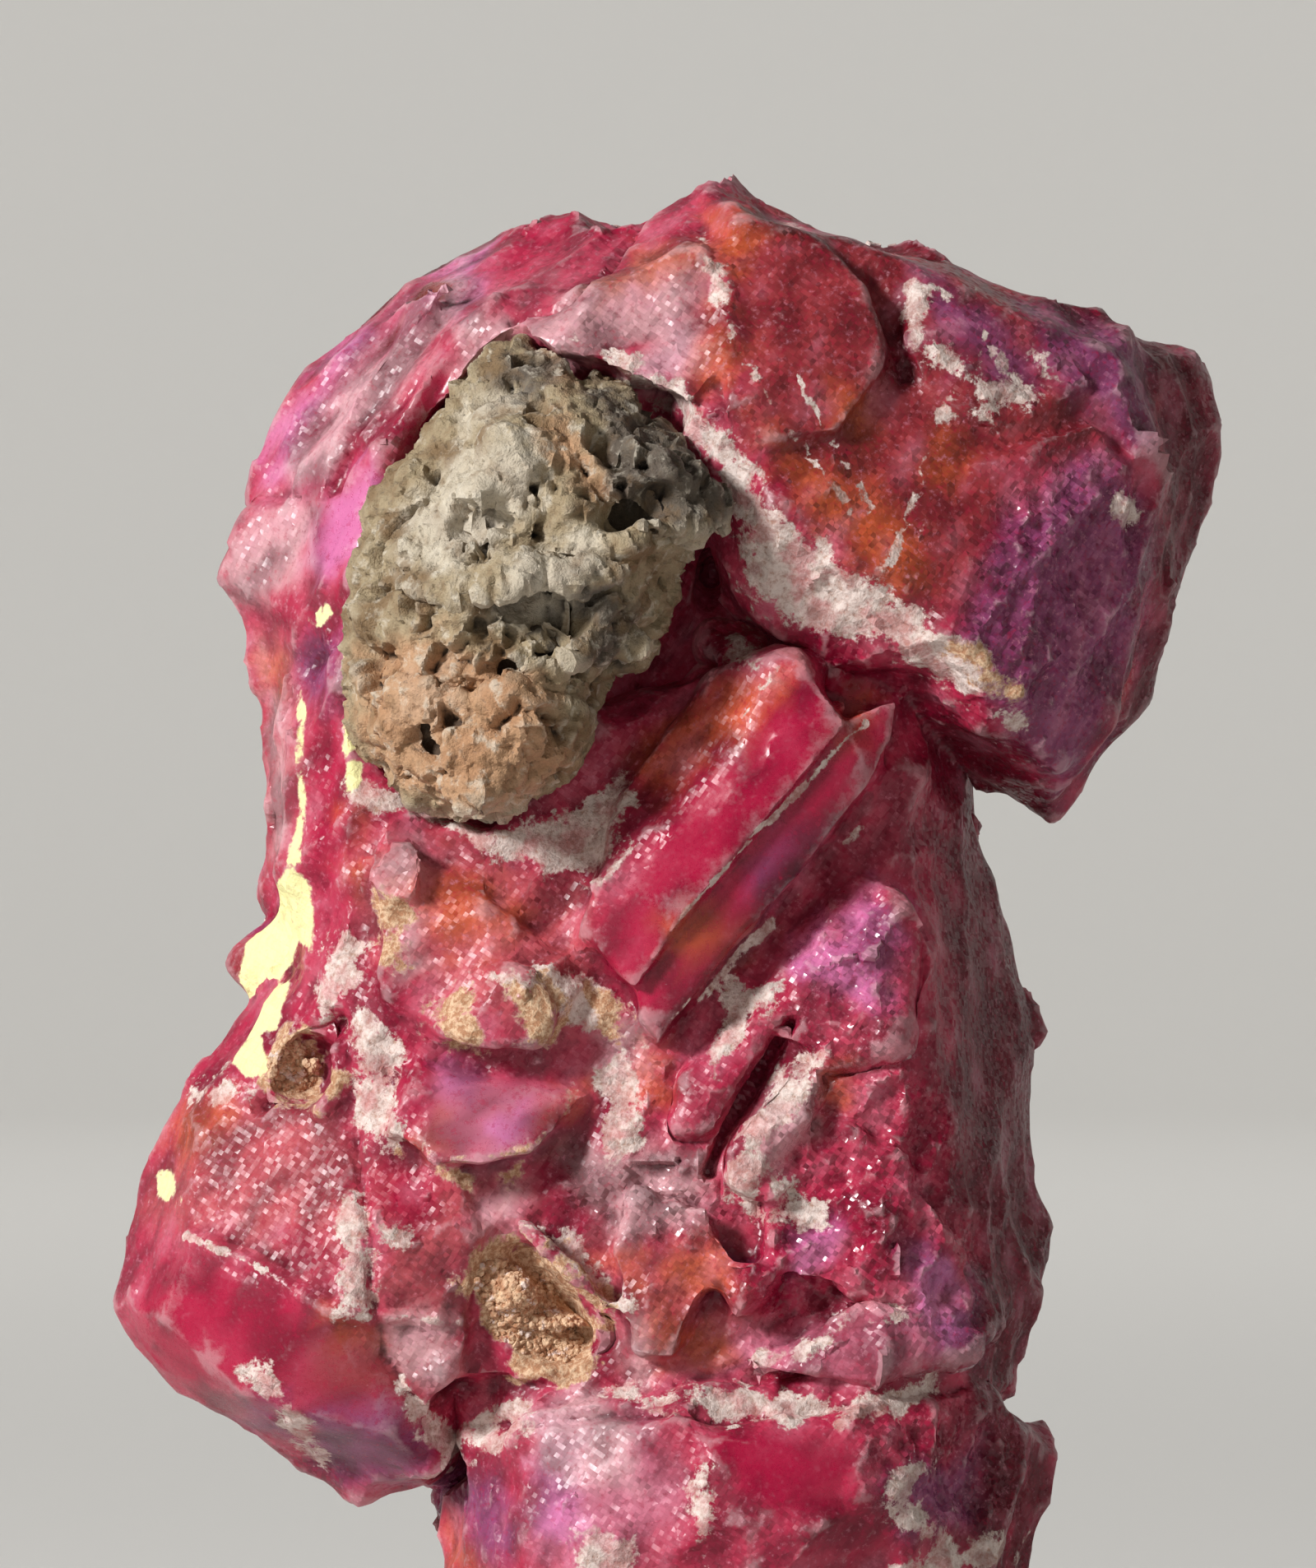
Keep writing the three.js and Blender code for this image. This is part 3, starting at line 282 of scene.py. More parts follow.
         (1.6, 30.0)],
        [(-12.6, 11.0), (-10.8, 13.8), (-7.6, 13.6), (-6.6, 8.0), (-9.0, 5.2), (-12.6, 7.4)],
        [(6.4, 23.2), (9.0, 22.4), (9.4, 12.0), (6.8, 12.0)],
    ],
}

# Share of the sides away from the front that each finish takes there

BACK_SHARES = {
    "blush": 0.2,
    "salmon": 0.3,
    # The painted shade colour is also laid in random patches on the back
    "deep": 0.25,
    "crimson": 0.35,
    "brick": 0.15,
    "violet": 0.14,
    "orchid": 0.05,
    "peach": 0.12,
    "amber": 0.04,
    "grey_skin": 0.07,
    "ochre": 0.02,
    "yellow_film": 0.0,
    "sugary": 0.3,
    "flat": 0.15,
    "calm": 0.2,
}

# The ruby's colours in the order they are laid: finish, softness in millimetres, strength

GROUND_LAYERS = [
    ("blush", 0.6, 0.55),
    ("salmon", 0.6, 0.75),
    ("crimson", 0.4, 0.85),
    ("brick", 0.55, 0.9),
    ("violet", 0.5, 0.85),
    # Orchid tint, and painted highlights on the wedge
    ("orchid", 0.4, 0.65),
    ("peach", 0.4, 0.75),
    ("amber", 0.5, 0.7),
    # Painted shade, laid over the other colours last
    ("deep", 0.5, 0.85),
]

# Finishes that the ruby's material reads from its mesh, and how ragged each one's edge is

KEPT_FIELDS = [
    ("grey_skin", 0.5),
    ("ochre", 0.6),
    ("yellow_film", 0.08),
    ("sugary", 0.3),
    ("flat", 0.0),
]

# Cracks and raised seams on the ruby, as (height, radius, line) in millimetres

RUBY_LINES = [
    (-0.12, 0.12, [(-7.4, 12.8), (-7.0, 11.0), (-6.9, 9.2), (-6.6, 7.6), (-5.4, 5.6)]),
    (-0.25, 0.15, [(-0.2, 35.0), (-2.2, 33.2), (-3.6, 32.6)]),
    (-0.15, 0.2, [(5.2, 33.8), (6.0, 31.2)]),
    (-0.5, 0.14, [(3.2, 15.6), (2.4, 14.2), (1.6, 13.0), (1.2, 12.0)]),
    (-0.6, 0.2, [(-1.4, 8.2), (-1.35, 7.9)]),
    (0.16, 0.2, [(-11.4, 10.4), (-9.8, 9.8), (-8.0, 8.7), (-6.8, 8.5), (-4.8, 8.4)]),
    (0.2, 0.3, [(-3.6, 6.4), (-1.2, 6.8), (2.0, 6.6), (4.8, 6.8), (7.6, 7.6)]),
    (-0.2, 0.16, [(-4.2, 5.8), (-1.2, 6.2), (2.0, 6.1), (4.8, 6.2), (7.6, 6.9)]),
    (0.14, 0.18, [(0.0, 7.0), (2.0, 7.6), (3.6, 8.4), (7.0, 8.6)]),
    (-0.45, 0.22, [(-8.3, 15.2), (-7.8, 15.6)]),
    (-0.4, 0.2, [(-9.3, 14.0), (-9.7, 13.6)]),
    (0.3, 0.22, [(-7.8, 14.9), (-7.7, 14.1), (-8.1, 13.5)]),
]

# Thin pale veins of skin on the ruby, as (radius, line) in millimetres

PALE_VEINS = [
    (0.2, [(1.8, 32.0), (2.8, 30.4), (4.0, 28.8), (5.2, 27.4)]),
    (0.18, [(3.0, 31.8), (4.2, 29.6), (6.0, 26.8)]),
    (0.24, [(7.1, 30.9), (6.4, 29.0), (6.3, 28.4), (5.8, 27.2), (5.6, 26.8)]),
    (0.2, [(6.6, 33.4), (7.6, 32.6), (8.6, 31.2)]),
    (0.2, [(7.8, 33.4), (7.6, 32.6), (7.3, 32.0)]),
    (0.26, [(1.0, 34.2), (1.6, 33.2), (1.8, 32.0)]),
    (0.18, [(5.0, 22.8), (4.2, 22.0), (2.4, 20.2), (0.4, 17.9)]),
    (0.18, [(3.2, 24.4), (1.0, 21.8), (-1.2, 19.2)]),
    (0.24, [(5.2, 20.6), (4.2, 19.6), (3.0, 18.2), (1.2, 16.4), (-0.2, 15.0)]),
    (0.2, [(-11.4, 10.4), (-9.8, 9.8), (-8.0, 8.7), (-6.8, 8.5), (-4.8, 8.4)]),
    (0.26, [(-6.2, 6.8), (-5.2, 5.6), (-3.2, 6.4)]),
]

# Finishes of the host rock's front, as closed outlines in millimetres

ROCK_PATCHES = {
    "rust": [
        [(-7.2, 24.4), (-5.6, 25.0), (-4.0, 24.4), (-2.4, 23.4), (-2.2, 21.8), (-3.2, 20.8),
         (-4.8, 20.6), (-6.4, 21.2), (-7.2, 22.4)],
        [(-2.4, 30.4), (-1.4, 29.2), (-1.2, 28.4), (-2.2, 28.6), (-2.6, 29.6)],
        [(-2.8, 31.8), (-2.0, 31.8), (-2.0, 31.2), (-2.6, 31.2)],
    ],
    "ash": [
        [(-1.6, 31.0), (0.0, 30.4), (1.6, 29.2), (2.0, 28.2), (1.2, 27.4), (-0.2, 27.6), (-1.2, 28.8)],
        [(-3.2, 31.8), (-2.0, 31.6), (-3.0, 30.8), (-4.0, 31.0)],
        [(-2.0, 26.4), (-0.8, 25.6), (-0.8, 24.0), (-1.6, 24.4)],
    ],
    "cream": [
        [(-4.8, 29.2), (-3.2, 30.0), (-2.8, 28.4), (-3.6, 27.2), (-4.8, 26.4), (-6.2, 26.6), (-6.0, 28.0)],
        [(-3.6, 26.8), (-1.6, 27.4), (-1.2, 26.4), (-2.4, 25.0), (-4.0, 25.2)],
        [(-7.0, 21.2), (-4.8, 20.6), (-2.8, 21.2), (-3.2, 20.4), (-6.0, 20.4)],
        [(0.6, 27.6), (2.0, 28.0), (1.6, 27.2), (0.8, 27.1)],
        [(-4.4, 30.8), (-3.2, 31.0), (-3.6, 30.0), (-4.8, 29.6)],
        [(-6.2, 24.0), (-4.8, 24.4), (-4.6, 23.2), (-5.6, 22.4), (-6.2, 23.0)],
    ],
}

ROCK_LAYERS = [
    ("cream", 0.4, 0.6),
    ("rust", 0.5, 0.7),
    ("ash", 0.4, 0.85),
]

# Hollows in the host rock's front, as (depth, radius, line) in millimetres

ROCK_PITS = [
    (1.0, 0.5, [(-3.6, 25.8), (-3.0, 25.7), (-2.4, 25.3)]),
    (0.8, 0.4, [(-1.0, 27.7), (0.0, 28.1)]),
    (0.6, 0.3, [(-4.6, 27.5), (-3.8, 27.9)]),
    (0.6, 0.25, [(-5.7, 22.5), (-5.4, 22.1)]),
    (0.7, 0.3, [(-1.4, 29.5), (-0.9, 29.1)]),
    (0.5, 0.3, [(-4.0, 30.6), (-3.4, 30.9)]),
]

# Rolling noise over the surfaces: size in millimetres, octaves, seed, stretch along the growth axis

WAVES = {
    "skin_edge": (0.5, 3, 21.0, 1.0),
    "skin_grains": (0.3, 2, 9.0, 1.0),
    "torn": (0.7, 3, 23.0, 1.0),
    "ragged": (1.2, 3, 31.0, 1.0),
    "fine_ragged": (0.45, 2, 33.0, 1.0),
    "flow": (1.8, 4, 35.0, 1.0),
    "veils": (0.9, 4, 37.0, 1.8),
    "rock_swell": (1.8, 3, 2.0, 1.0),
    "rock_pits": (1.0, 3, 12.0, 1.0),
    "rock_grains": (0.25, 3, 8.0, 1.0),
    "rock_ragged": (0.9, 3, 41.0, 1.0),
    "rock_fine_ragged": (0.35, 2, 43.0, 1.0),
    "rock_stain": (1.1, 4, 45.0, 1.0),
}

# The ruby's broken faces: seed, stretch along the growth axis

LEDGES = (4.0, 2.2)
CHIPS = (6.0, 1.6)
GRAINS = (7.0, 1.0)

# The rock's knobs and broken faces: size in millimetres, seed

ROCK_KNOBS = (1.1, 3.0)
ROCK_CHIPS = (0.42, 6.0)

# Depths inside an outline, in millimetres, where a finish begins and where it is full

FLAT_EDGE = (-0.3, 0.4)
WIDE_EDGE = (-0.5, 0.5)
SKIN_RISE = (-0.1, 0.15)
SKIN_EDGE = (-0.05, 0.15)
EARTH_EDGE = (-0.1, 0.2)
CRUST_EDGE = (-0.1, 0.15)
FILM_EDGE = (-0.04, 0.04)

# Soft noise in the materials: size in millimetres, detail, roughness

CLOUDS = {
    "ruby_specks": (0.16, 3.0, 0.7),
    "coat_speckle": (0.14, 4.0, 0.7),
    "coat_mottle": (0.8, 4.0, 0.55),
    "rock_speckle": (0.16, 4.0, 0.7),
    "rock_mottle": (0.5, 5.0, 0.6),
    "rock_dust": (0.06, 3.0, 0.55),
    "grain_tint": (0.22, 2.0, 0.55),
    "grain_flecks": (0.3, 3.0, 0.55),
    "grain_dust": (0.05, 3.0, 0.55),
}

# Levels of noise where a tint or a pit begins and where it is full, first on the meshes

FLOW_LEVEL = (-0.35, 0.5)
VEIL_LEVEL = (0.15, 0.7)
SHADE_LEVEL = (-0.2, 0.5)
PIT_LEVEL = (0.25, 0.6)
STAIN_LEVEL = (-0.1, 0.5)

# The same in the materials

PALE_SPECKS = (0.54, 0.74)
DARK_SPECKS = (0.3, 0.48)
LIGHT_SKIN = (0.36, 0.6)
DARK_SKIN = (0.3, 0.42)
BARE_SKIN = (0.4, 0.55)
LIGHT_CRUST = (0.4, 0.62)
CHALK_FLECKS = (0.34, 0.46)
ROCK_STAIN = (0.3, 0.5)
ROCK_CREAM = (0.54, 0.68)
ROCK_ASH = (0.28, 0.45)
GRAIN_LIGHT = (0.35, 0.65)
GRAIN_FLECKS = (0.58, 0.66)

# Heights over the surroundings, where wear begins and is full, or depths below them, where painted shade
# begins and is full

RUBY_WEAR = (0.03, 0.08)
RUBY_PAINTED_CLEFT_SHADE = (0.015, 0.08)
ROCK_WEAR = (0.04, 0.2)
ROCK_PAINTED_HOLLOW_SHADE = (0.02, 0.16)

# Width of the small leaning faces in the materials, in millimetres

RUBY_FACET = 0.12
COAT_FACET = 0.24
ROCK_FACET = 0.25

# Floors of the ochre pits, as (radius, middle) in millimetres

PIT_FLOORS = [
    (0.95, (-3.2, 8.6)),
    (0.6, (-2.4, 8.0)),
    (0.6, (-3.8, 9.3)),
    (0.6, (-8.8, 14.5)),
]

# How much smoother the flat and the calm faces are, and how much clearer of veils the flat ones

FLATNESS = 0.85
CALMNESS = 0.6
FLAT_CLEARNESS = 0.75

# The skin's torn edge and grain, the pits' filling, the veins' depth and the chips' hollow

SKIN_TEAR = 0.3
SKIN_GRAIN = 0.8
PIT_FILL = 0.75
VEIN_DEPTH = 0.3
CHIP_HOLLOW = 1.0

# Patches on the sides away from the front: width in millimetres, octaves, stretch, depth for each step

BACK_PATCH = 6.0
BACK_OCTAVES = 4
BACK_STRETCH = 1.5
BACK_DEPTH = 4.0

# Reach of a finish's depth, height of the foot, start of the rays and slack behind a hit, in millimetres

FIELD_REACH = 1.2
FOOT_HEIGHT = 0.6
RAY_START = -50.0
DEPTH_SLACK = 0.8

# Spread of the chips' random leans, and the angle past which an edge is sharp

CELL_SPREAD = 97.0
SHARP_EDGE = math.radians(32)

# Rounds of evening out for what the front shows, and for the ridges of the ruby and the rock

SEEN_ROUNDS = 4
RUBY_RIDGE_ROUNDS = 4
ROCK_RIDGE_ROUNDS = 10

# Loose grains: random seed, largest turn, least and most stretch, and how rare the large ones are

GRAIN_SEED = 11
GRAIN_TURN = 6.28
GRAIN_STRETCH = (0.6, 1.3)
GRAIN_RARITY = 2.5

# Stage, in metres: the floor's gap under the specimen, the sweep's parts, the lights and the farthest view

FLOOR_GAP = 0.02 * MM
SWEEP_BEND_STEPS = 8
SWEEP_TURN_STEPS = 64
KEY_PLACE = (-0.56, -0.44, 0.36)
KEY_SIZE = 0.16
BACKDROP_PLACE = (0.0, 0.5, 0.9)
BACKDROP_TARGET = (0.0, 1.5, 0.2)
BACKDROP_SIZE = 0.6
FARTHEST = 20.0


# Shader sockets written as Python maths

class Wire:
    """One socket of a material. Operators add Math nodes, and make() adds any other node."""

    def __init__(self, tree, socket=None):
        self.tree = tree
        self.socket = socket

    def make(self, kind, settings=None, inputs=None, output=0):
        node = self.tree.nodes.new("ShaderNode" + kind)
        for name, value in (settings or {}).items():
            setattr(node, name, value)
        for name, value in (inputs or {}).items():
            self.feed(node.inputs[name], value)
        return Wire(self.tree, node.outputs[output])

    def feed(self, socket, value):
        if isinstance(value, Wire):
            self.tree.links.new(value.socket, socket)
        else:
            socket.default_value = value

    def math(self, operation, first, second=0.0):
        return self.make("Math", {"operation": operation}, {0: first, 1: second})

    def __add__(self, other):
        return self.math("ADD", self, other)

    def __radd__(self, other):
        return self.math("ADD", other, self)

    def __sub__(self, other):
        return self.math("SUBTRACT", self, other)

    def __rsub__(self, other):
        return self.math("SUBTRACT", other, self)

    def __mul__(self, other):
        return self.math("MULTIPLY", self, other)

    def __rmul__(self, other):
        return self.math("MULTIPLY", other, self)

    def top(self, other):
        return self.math("MAXIMUM", self, other)

    def step(self, low, high):
        settings = {"interpolation_type": "SMOOTHSTEP"}
        inputs = {"Value": self, "From Min": low, "From Max": high}
        return self.make("MapRange", settings, inputs)

    def scaled(self, factor):
        return self.make("VectorMath", {"operation": "SCALE"}, {0: self, "Scale": factor})

    def moved(self, other):
        return self.make("VectorMath", {"operation": "ADD"}, {0: self, 1: other})

    def less(self, other):
        return self.make("VectorMath", {"operation": "SUBTRACT"}, {0: self, 1: other})

    def dot(self, other):
        return self.make("VectorMath", {"operation": "DOT_PRODUCT"}, {0: self, 1: other}, "Value")


def paint(color):
    """Leaves a wire as it is and gives a plain colour its opacity."""
    return color if isinstance(color, Wire) else (color[0], color[1], color[2], 1.0)


def blend(factor, under, over):
    """Lays one colour over another by a mask."""
    inputs = {0: factor, 6: paint(under), 7: paint(over)}
    return factor.make("Mix", {"data_type": "RGBA"}, inputs, 2)


def clouds(place, size, detail, rough):
    """Soft noise between 0 and 1 whose lumps are about one size across, in millimetres."""
    inputs = {"Vector": place, "Scale": 1.0 / size, "Detail": detail, "Roughness": rough}
    return place.make("TexNoise", None, inputs)


def stirred(place, size, amount):
    """A position pushed about by noise, so that straight patterns wander."""
    inputs = {"Vector": place, "Scale": 1.0 / size, "Detail": 2.0}
    push = place.make("TexNoise", None, inputs, "Color").less((0.5, 0.5, 0.5))
    return place.moved(push.scaled(amount))


def facets(place, size):
    """Height in millimetres of small flat faces, split along three planes, that each lean their own way."""
    inputs = {"Vector": place, "Rotation": FACET_TURN, "Scale": (1.0 / size, 1.0 / size, 1.0 / size)}
    cells = place.make("Mapping", None, inputs)
    corner = cells.make("VectorMath", {"operation": "FLOOR"}, {0: cells})
    lean = cells.make("TexWhiteNoise", None, {"Vector": corner}, "Color").less((0.5, 0.5, 0.5))
    return lean.dot(cells.less(corner).less((0.5, 0.5, 0.5))) * size


def field(wire, name):
    """A number kept on the mesh, such as a finish's depth inside its outlines in millimetres."""
    return wire.make("Attribute", {"attribute_name": name}, None, "Fac")


def ground_color(wire):
    """The colour kept on the mesh."""
    return wire.make("Attribute", {"attribute_name": "ground"}, None, "Color")


def new_material(name):
    """An empty material, its output node and its Object coordinates in millimetres."""
    material = bpy.data.materials.new(name)
    material.use_nodes = True
    tree = material.node_tree
    tree.nodes.clear()
    output = tree.nodes.new("ShaderNodeOutputMaterial")
    place = Wire(tree).make("TexCoord", None, None, "Object").scaled(1.0 / MM)
    return material, output, place


def closed(material, output, shader):
    """A material whose output is fed by a shader."""
    material.node_tree.links.new(shader.socket, output.inputs["Surface"])
    return material


def bump(height, strength):
    """A normal from a height in millimetres."""
    inputs = {"Height": height * MM, "Strength": strength, "Distance": 1.0}
    return height.make("Bump", None, inputs)


def principled(place, inputs):
    return place.make("BsdfPrincipled", None, inputs)


# Settings a user would change

def linear(red, green, blue):
    """A screen colour of 0 to 255 as the linear colour that Blender uses."""
    parts = [value / 255 for value in (red, green, blue)]
    return tuple(v / 12.92 if v <= 0.04045 else ((v + 0.055) / 1.055) ** 2.4 for v in parts)


def color_setting(name, description, red, green, blue):
    return FloatVectorProperty(
        name=name, description=description, subtype="COLOR", size=3, min=0.0, max=1.0,
        default=linear(red, green, blue))


def length_setting(name, description, millimetres):
    return FloatProperty(
        name=name, description=description, unit="LENGTH", precision=5, min=0.0,
        default=millimetres * MM)


def number_setting(name, description, default, top=1.0):
    return FloatProperty(name=name, description=description, min=0.0, max=top, default=default)


class RubySettings(bpy.types.PropertyGroup):
    """Sizes and colours of the ruby."""

    grid: length_setting("Grid", "Spacing of the fine surface before it is thinned", 0.11)
    triangles: IntProperty(
        name="Triangles", description="Most triangles in the finished ruby", default=190000, min=1000)
    ledge_size: length_setting("Ledge size", "Width of the broken ledges", 2.2)
    ledge_slope: number_setting("Ledge slope", "Lean of the broken ledges", 0.4)
    chip_size: length_setting("Chip size", "Width of the small broken faces", 0.8)
    chip_slope: number_setting("Chip slope", "Lean of the small broken faces", 0.4)
    grain_size: length_setting("Grain size", "Width of the sugary grains", 0.45)
    grain_slope: number_setting("Grain slope", "Lean of the sugary grains", 0.4, 2.0)
    rounding: IntProperty(
        name="Rounding", description="How far edges and joints are worn round", default=8, min=0)
    refraction: number_setting("Refraction", "Index of refraction of ruby", 1.77, 3.0)
    gloss: number_setting("Gloss", "Strength of the surface's reflections", 0.07)
    clearness: number_setting("Clearness", "Light let through", 0.25)
    rose: color_setting("Rose", "Main colour", 206, 74, 100)
    pale: color_setting("Pale rose", "Clouds and veils inside the crystal", 234, 148, 172)
    blush: color_setting("Blush", "Light milky faces", 232, 150, 176)
    salmon: color_setting("Salmon", "Warm cloudy faces", 212, 98, 102)
    # Dark red painted as shade on the shadowed right flank, the head's top and right side, and beside the
    # dome and the blades' step
    deep: color_setting("Deep red", "Clear faces seen into the dark", 96, 4, 24)
    crimson: color_setting("Crimson", "Deep red of the clear faces", 190, 12, 66)
    violet: color_setting("Violet", "Dark cool faces", 146, 76, 124)
    # Orchid tint of the shoulder, cheek and foot, and painted highlights on the wedge
    orchid: color_setting("Orchid", "Light cool faces", 238, 140, 204)
    peach: color_setting("Peach", "Milky warm faces", 242, 196, 200)
    brick: color_setting("Brick", "Brownish red of the upper crystal", 168, 60, 62)
    amber: color_setting("Amber", "Orange stains", 228, 108, 52)
    frost: color_setting("Frost", "Worn edges", 246, 212, 216)
    # Depth: a dark tone laid in random patches, and also painted shade in the clefts
    depth: color_setting("Depth", "Clefts and dark faces", 66, 6, 22)


class CoatSettings(bpy.types.PropertyGroup):
    """Colours and height of the coatings on the ruby."""

    height: length_setting("Height", "How far the grey skin stands up", 0.06)
    skin: color_setting("Skin", "Grey to beige granular skin", 188, 154, 142)
    skin_light: color_setting("Light skin", "Pale grains of the skin", 232, 214, 206)
    ochre: color_setting("Ochre", "Ochre crust of the pits", 224, 190, 156)
    ochre_dark: color_setting("Dark ochre", "Shaded crust of the pits", 178, 128, 94)
    yellow: color_setting("Yellow", "Chalky yellow film", 244, 238, 172)


class RockSettings(bpy.types.PropertyGroup):
    """Sizes and colours of the host rock."""

    grid: length_setting("Grid", "Spacing of the rock's fine surface", 0.075)
    lump: length_setting("Lumps", "Height of the rock's lumps", 0.3)
    swell: length_setting("Swell", "How far the rock fills the gap around it", 0.15)
    tan: color_setting("Tan", "Main colour", 164, 146, 116)
    brown: color_setting("Brown", "Stained hollows", 120, 92, 60)
    cream: color_setting("Cream", "Pale lumps", 216, 206, 188)
    rust: color_setting("Rust", "Orange lumps", 194, 144, 106)
    ash: color_setting("Ash", "Grey lumps", 78, 70, 64)
    # Near-black painted shade for the rock's hollows and pits
    painted_hollow_shade: color_setting("Pits", "Dark pits", 36, 28, 22)


class GrainSettings(bpy.types.PropertyGroup):
    """Loose grains in the ochre pits."""

    count: IntProperty(name="Count", description="How many grains", default=1500, min=1)
    smallest: length_setting("Smallest", "Smallest radius", 0.04)
    largest: length_setting("Largest", "Largest radius", 0.13)


class StageSettings(bpy.types.PropertyGroup):
    """Camera, lights and floor."""

    distance: FloatProperty(
        name="Camera distance", description="From the camera to the specimen's middle",
        unit="LENGTH", default=0.6)
    key: FloatProperty(name="Key light", description="Power", unit="POWER", default=7.8)
    back: FloatProperty(name="Backdrop light", description="Power", unit="POWER", default=5.0)
    sky: number_setting("Surrounding light", "Strength of the even light", 0.06, 5.0)
    floor: color_setting("Floor", "Pale floor and sweep", 226, 224, 220)
    floor_radius: FloatProperty(
        name="Floor radius", description="Radius of the round sweep", unit="LENGTH", default=1.5)


class SpecimenSettings(bpy.types.PropertyGroup):
    """All settings of the specimen."""

    ruby: PointerProperty(type=RubySettings)
    coat: PointerProperty(type=CoatSettings)
    rock: PointerProperty(type=RockSettings)
    grains: PointerProperty(type=GrainSettings)
    stage: PointerProperty(type=StageSettings)


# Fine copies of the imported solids, worked in millimetres

def show(name, mesh):
    piece = bpy.data.objects.new(name, mesh)
    bpy.context.scene.collection.objects.link(piece)
    return piece


def merged_copy(node_name):
    """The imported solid's mesh in millimetres, with its loose triangles joined."""
    shape = bmesh.new()
    shape.from_mesh(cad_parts[node_name].data)
    bmesh.ops.scale(shape, vec=(1 / MM, 1 / MM, 1 / MM), verts=shape.verts)
    bmesh.ops.remove_doubles(shape, verts=shape.verts, dist=0.001)
    return shape


def apply_modifiers(piece):
    """Puts the result of a piece's modifiers into its mesh."""
    graph = bpy.context.evaluated_depsgraph_get()
    finished = bpy.data.meshes.new_from_object(piece.evaluated_get(graph))
    piece.modifiers.clear()
    piece.data = finished


def fine_piece(shape, name, grid):
    """A new piece whose surface is an even fine grid over a solid."""
    mesh = bpy.data.meshes.new(name)
    shape.to_mesh(mesh)
    piece = show(name, mesh)
    remesh = piece.modifiers.new("grid", "REMESH")
    remesh.mode = "VOXEL"
    remesh.voxel_size = grid / MM
    apply_modifiers(piece)
    return piece


def thin_out(piece, triangles):
    """Takes faces away from the flattest places until the piece has few enough triangles."""
    present = sum(len(face.vertices) - 2 for face in piece.data.polygons)
    thinner = piece.modifiers.new("thin", "DECIMATE")
    thinner.ratio = min(1.0, triangles / present)
    apply_modifiers(piece)


def mesh_array(layer, name, width):
    values = np.empty(len(layer) * width)
    layer.foreach_get(name, values)
    return values.reshape(-1, width)


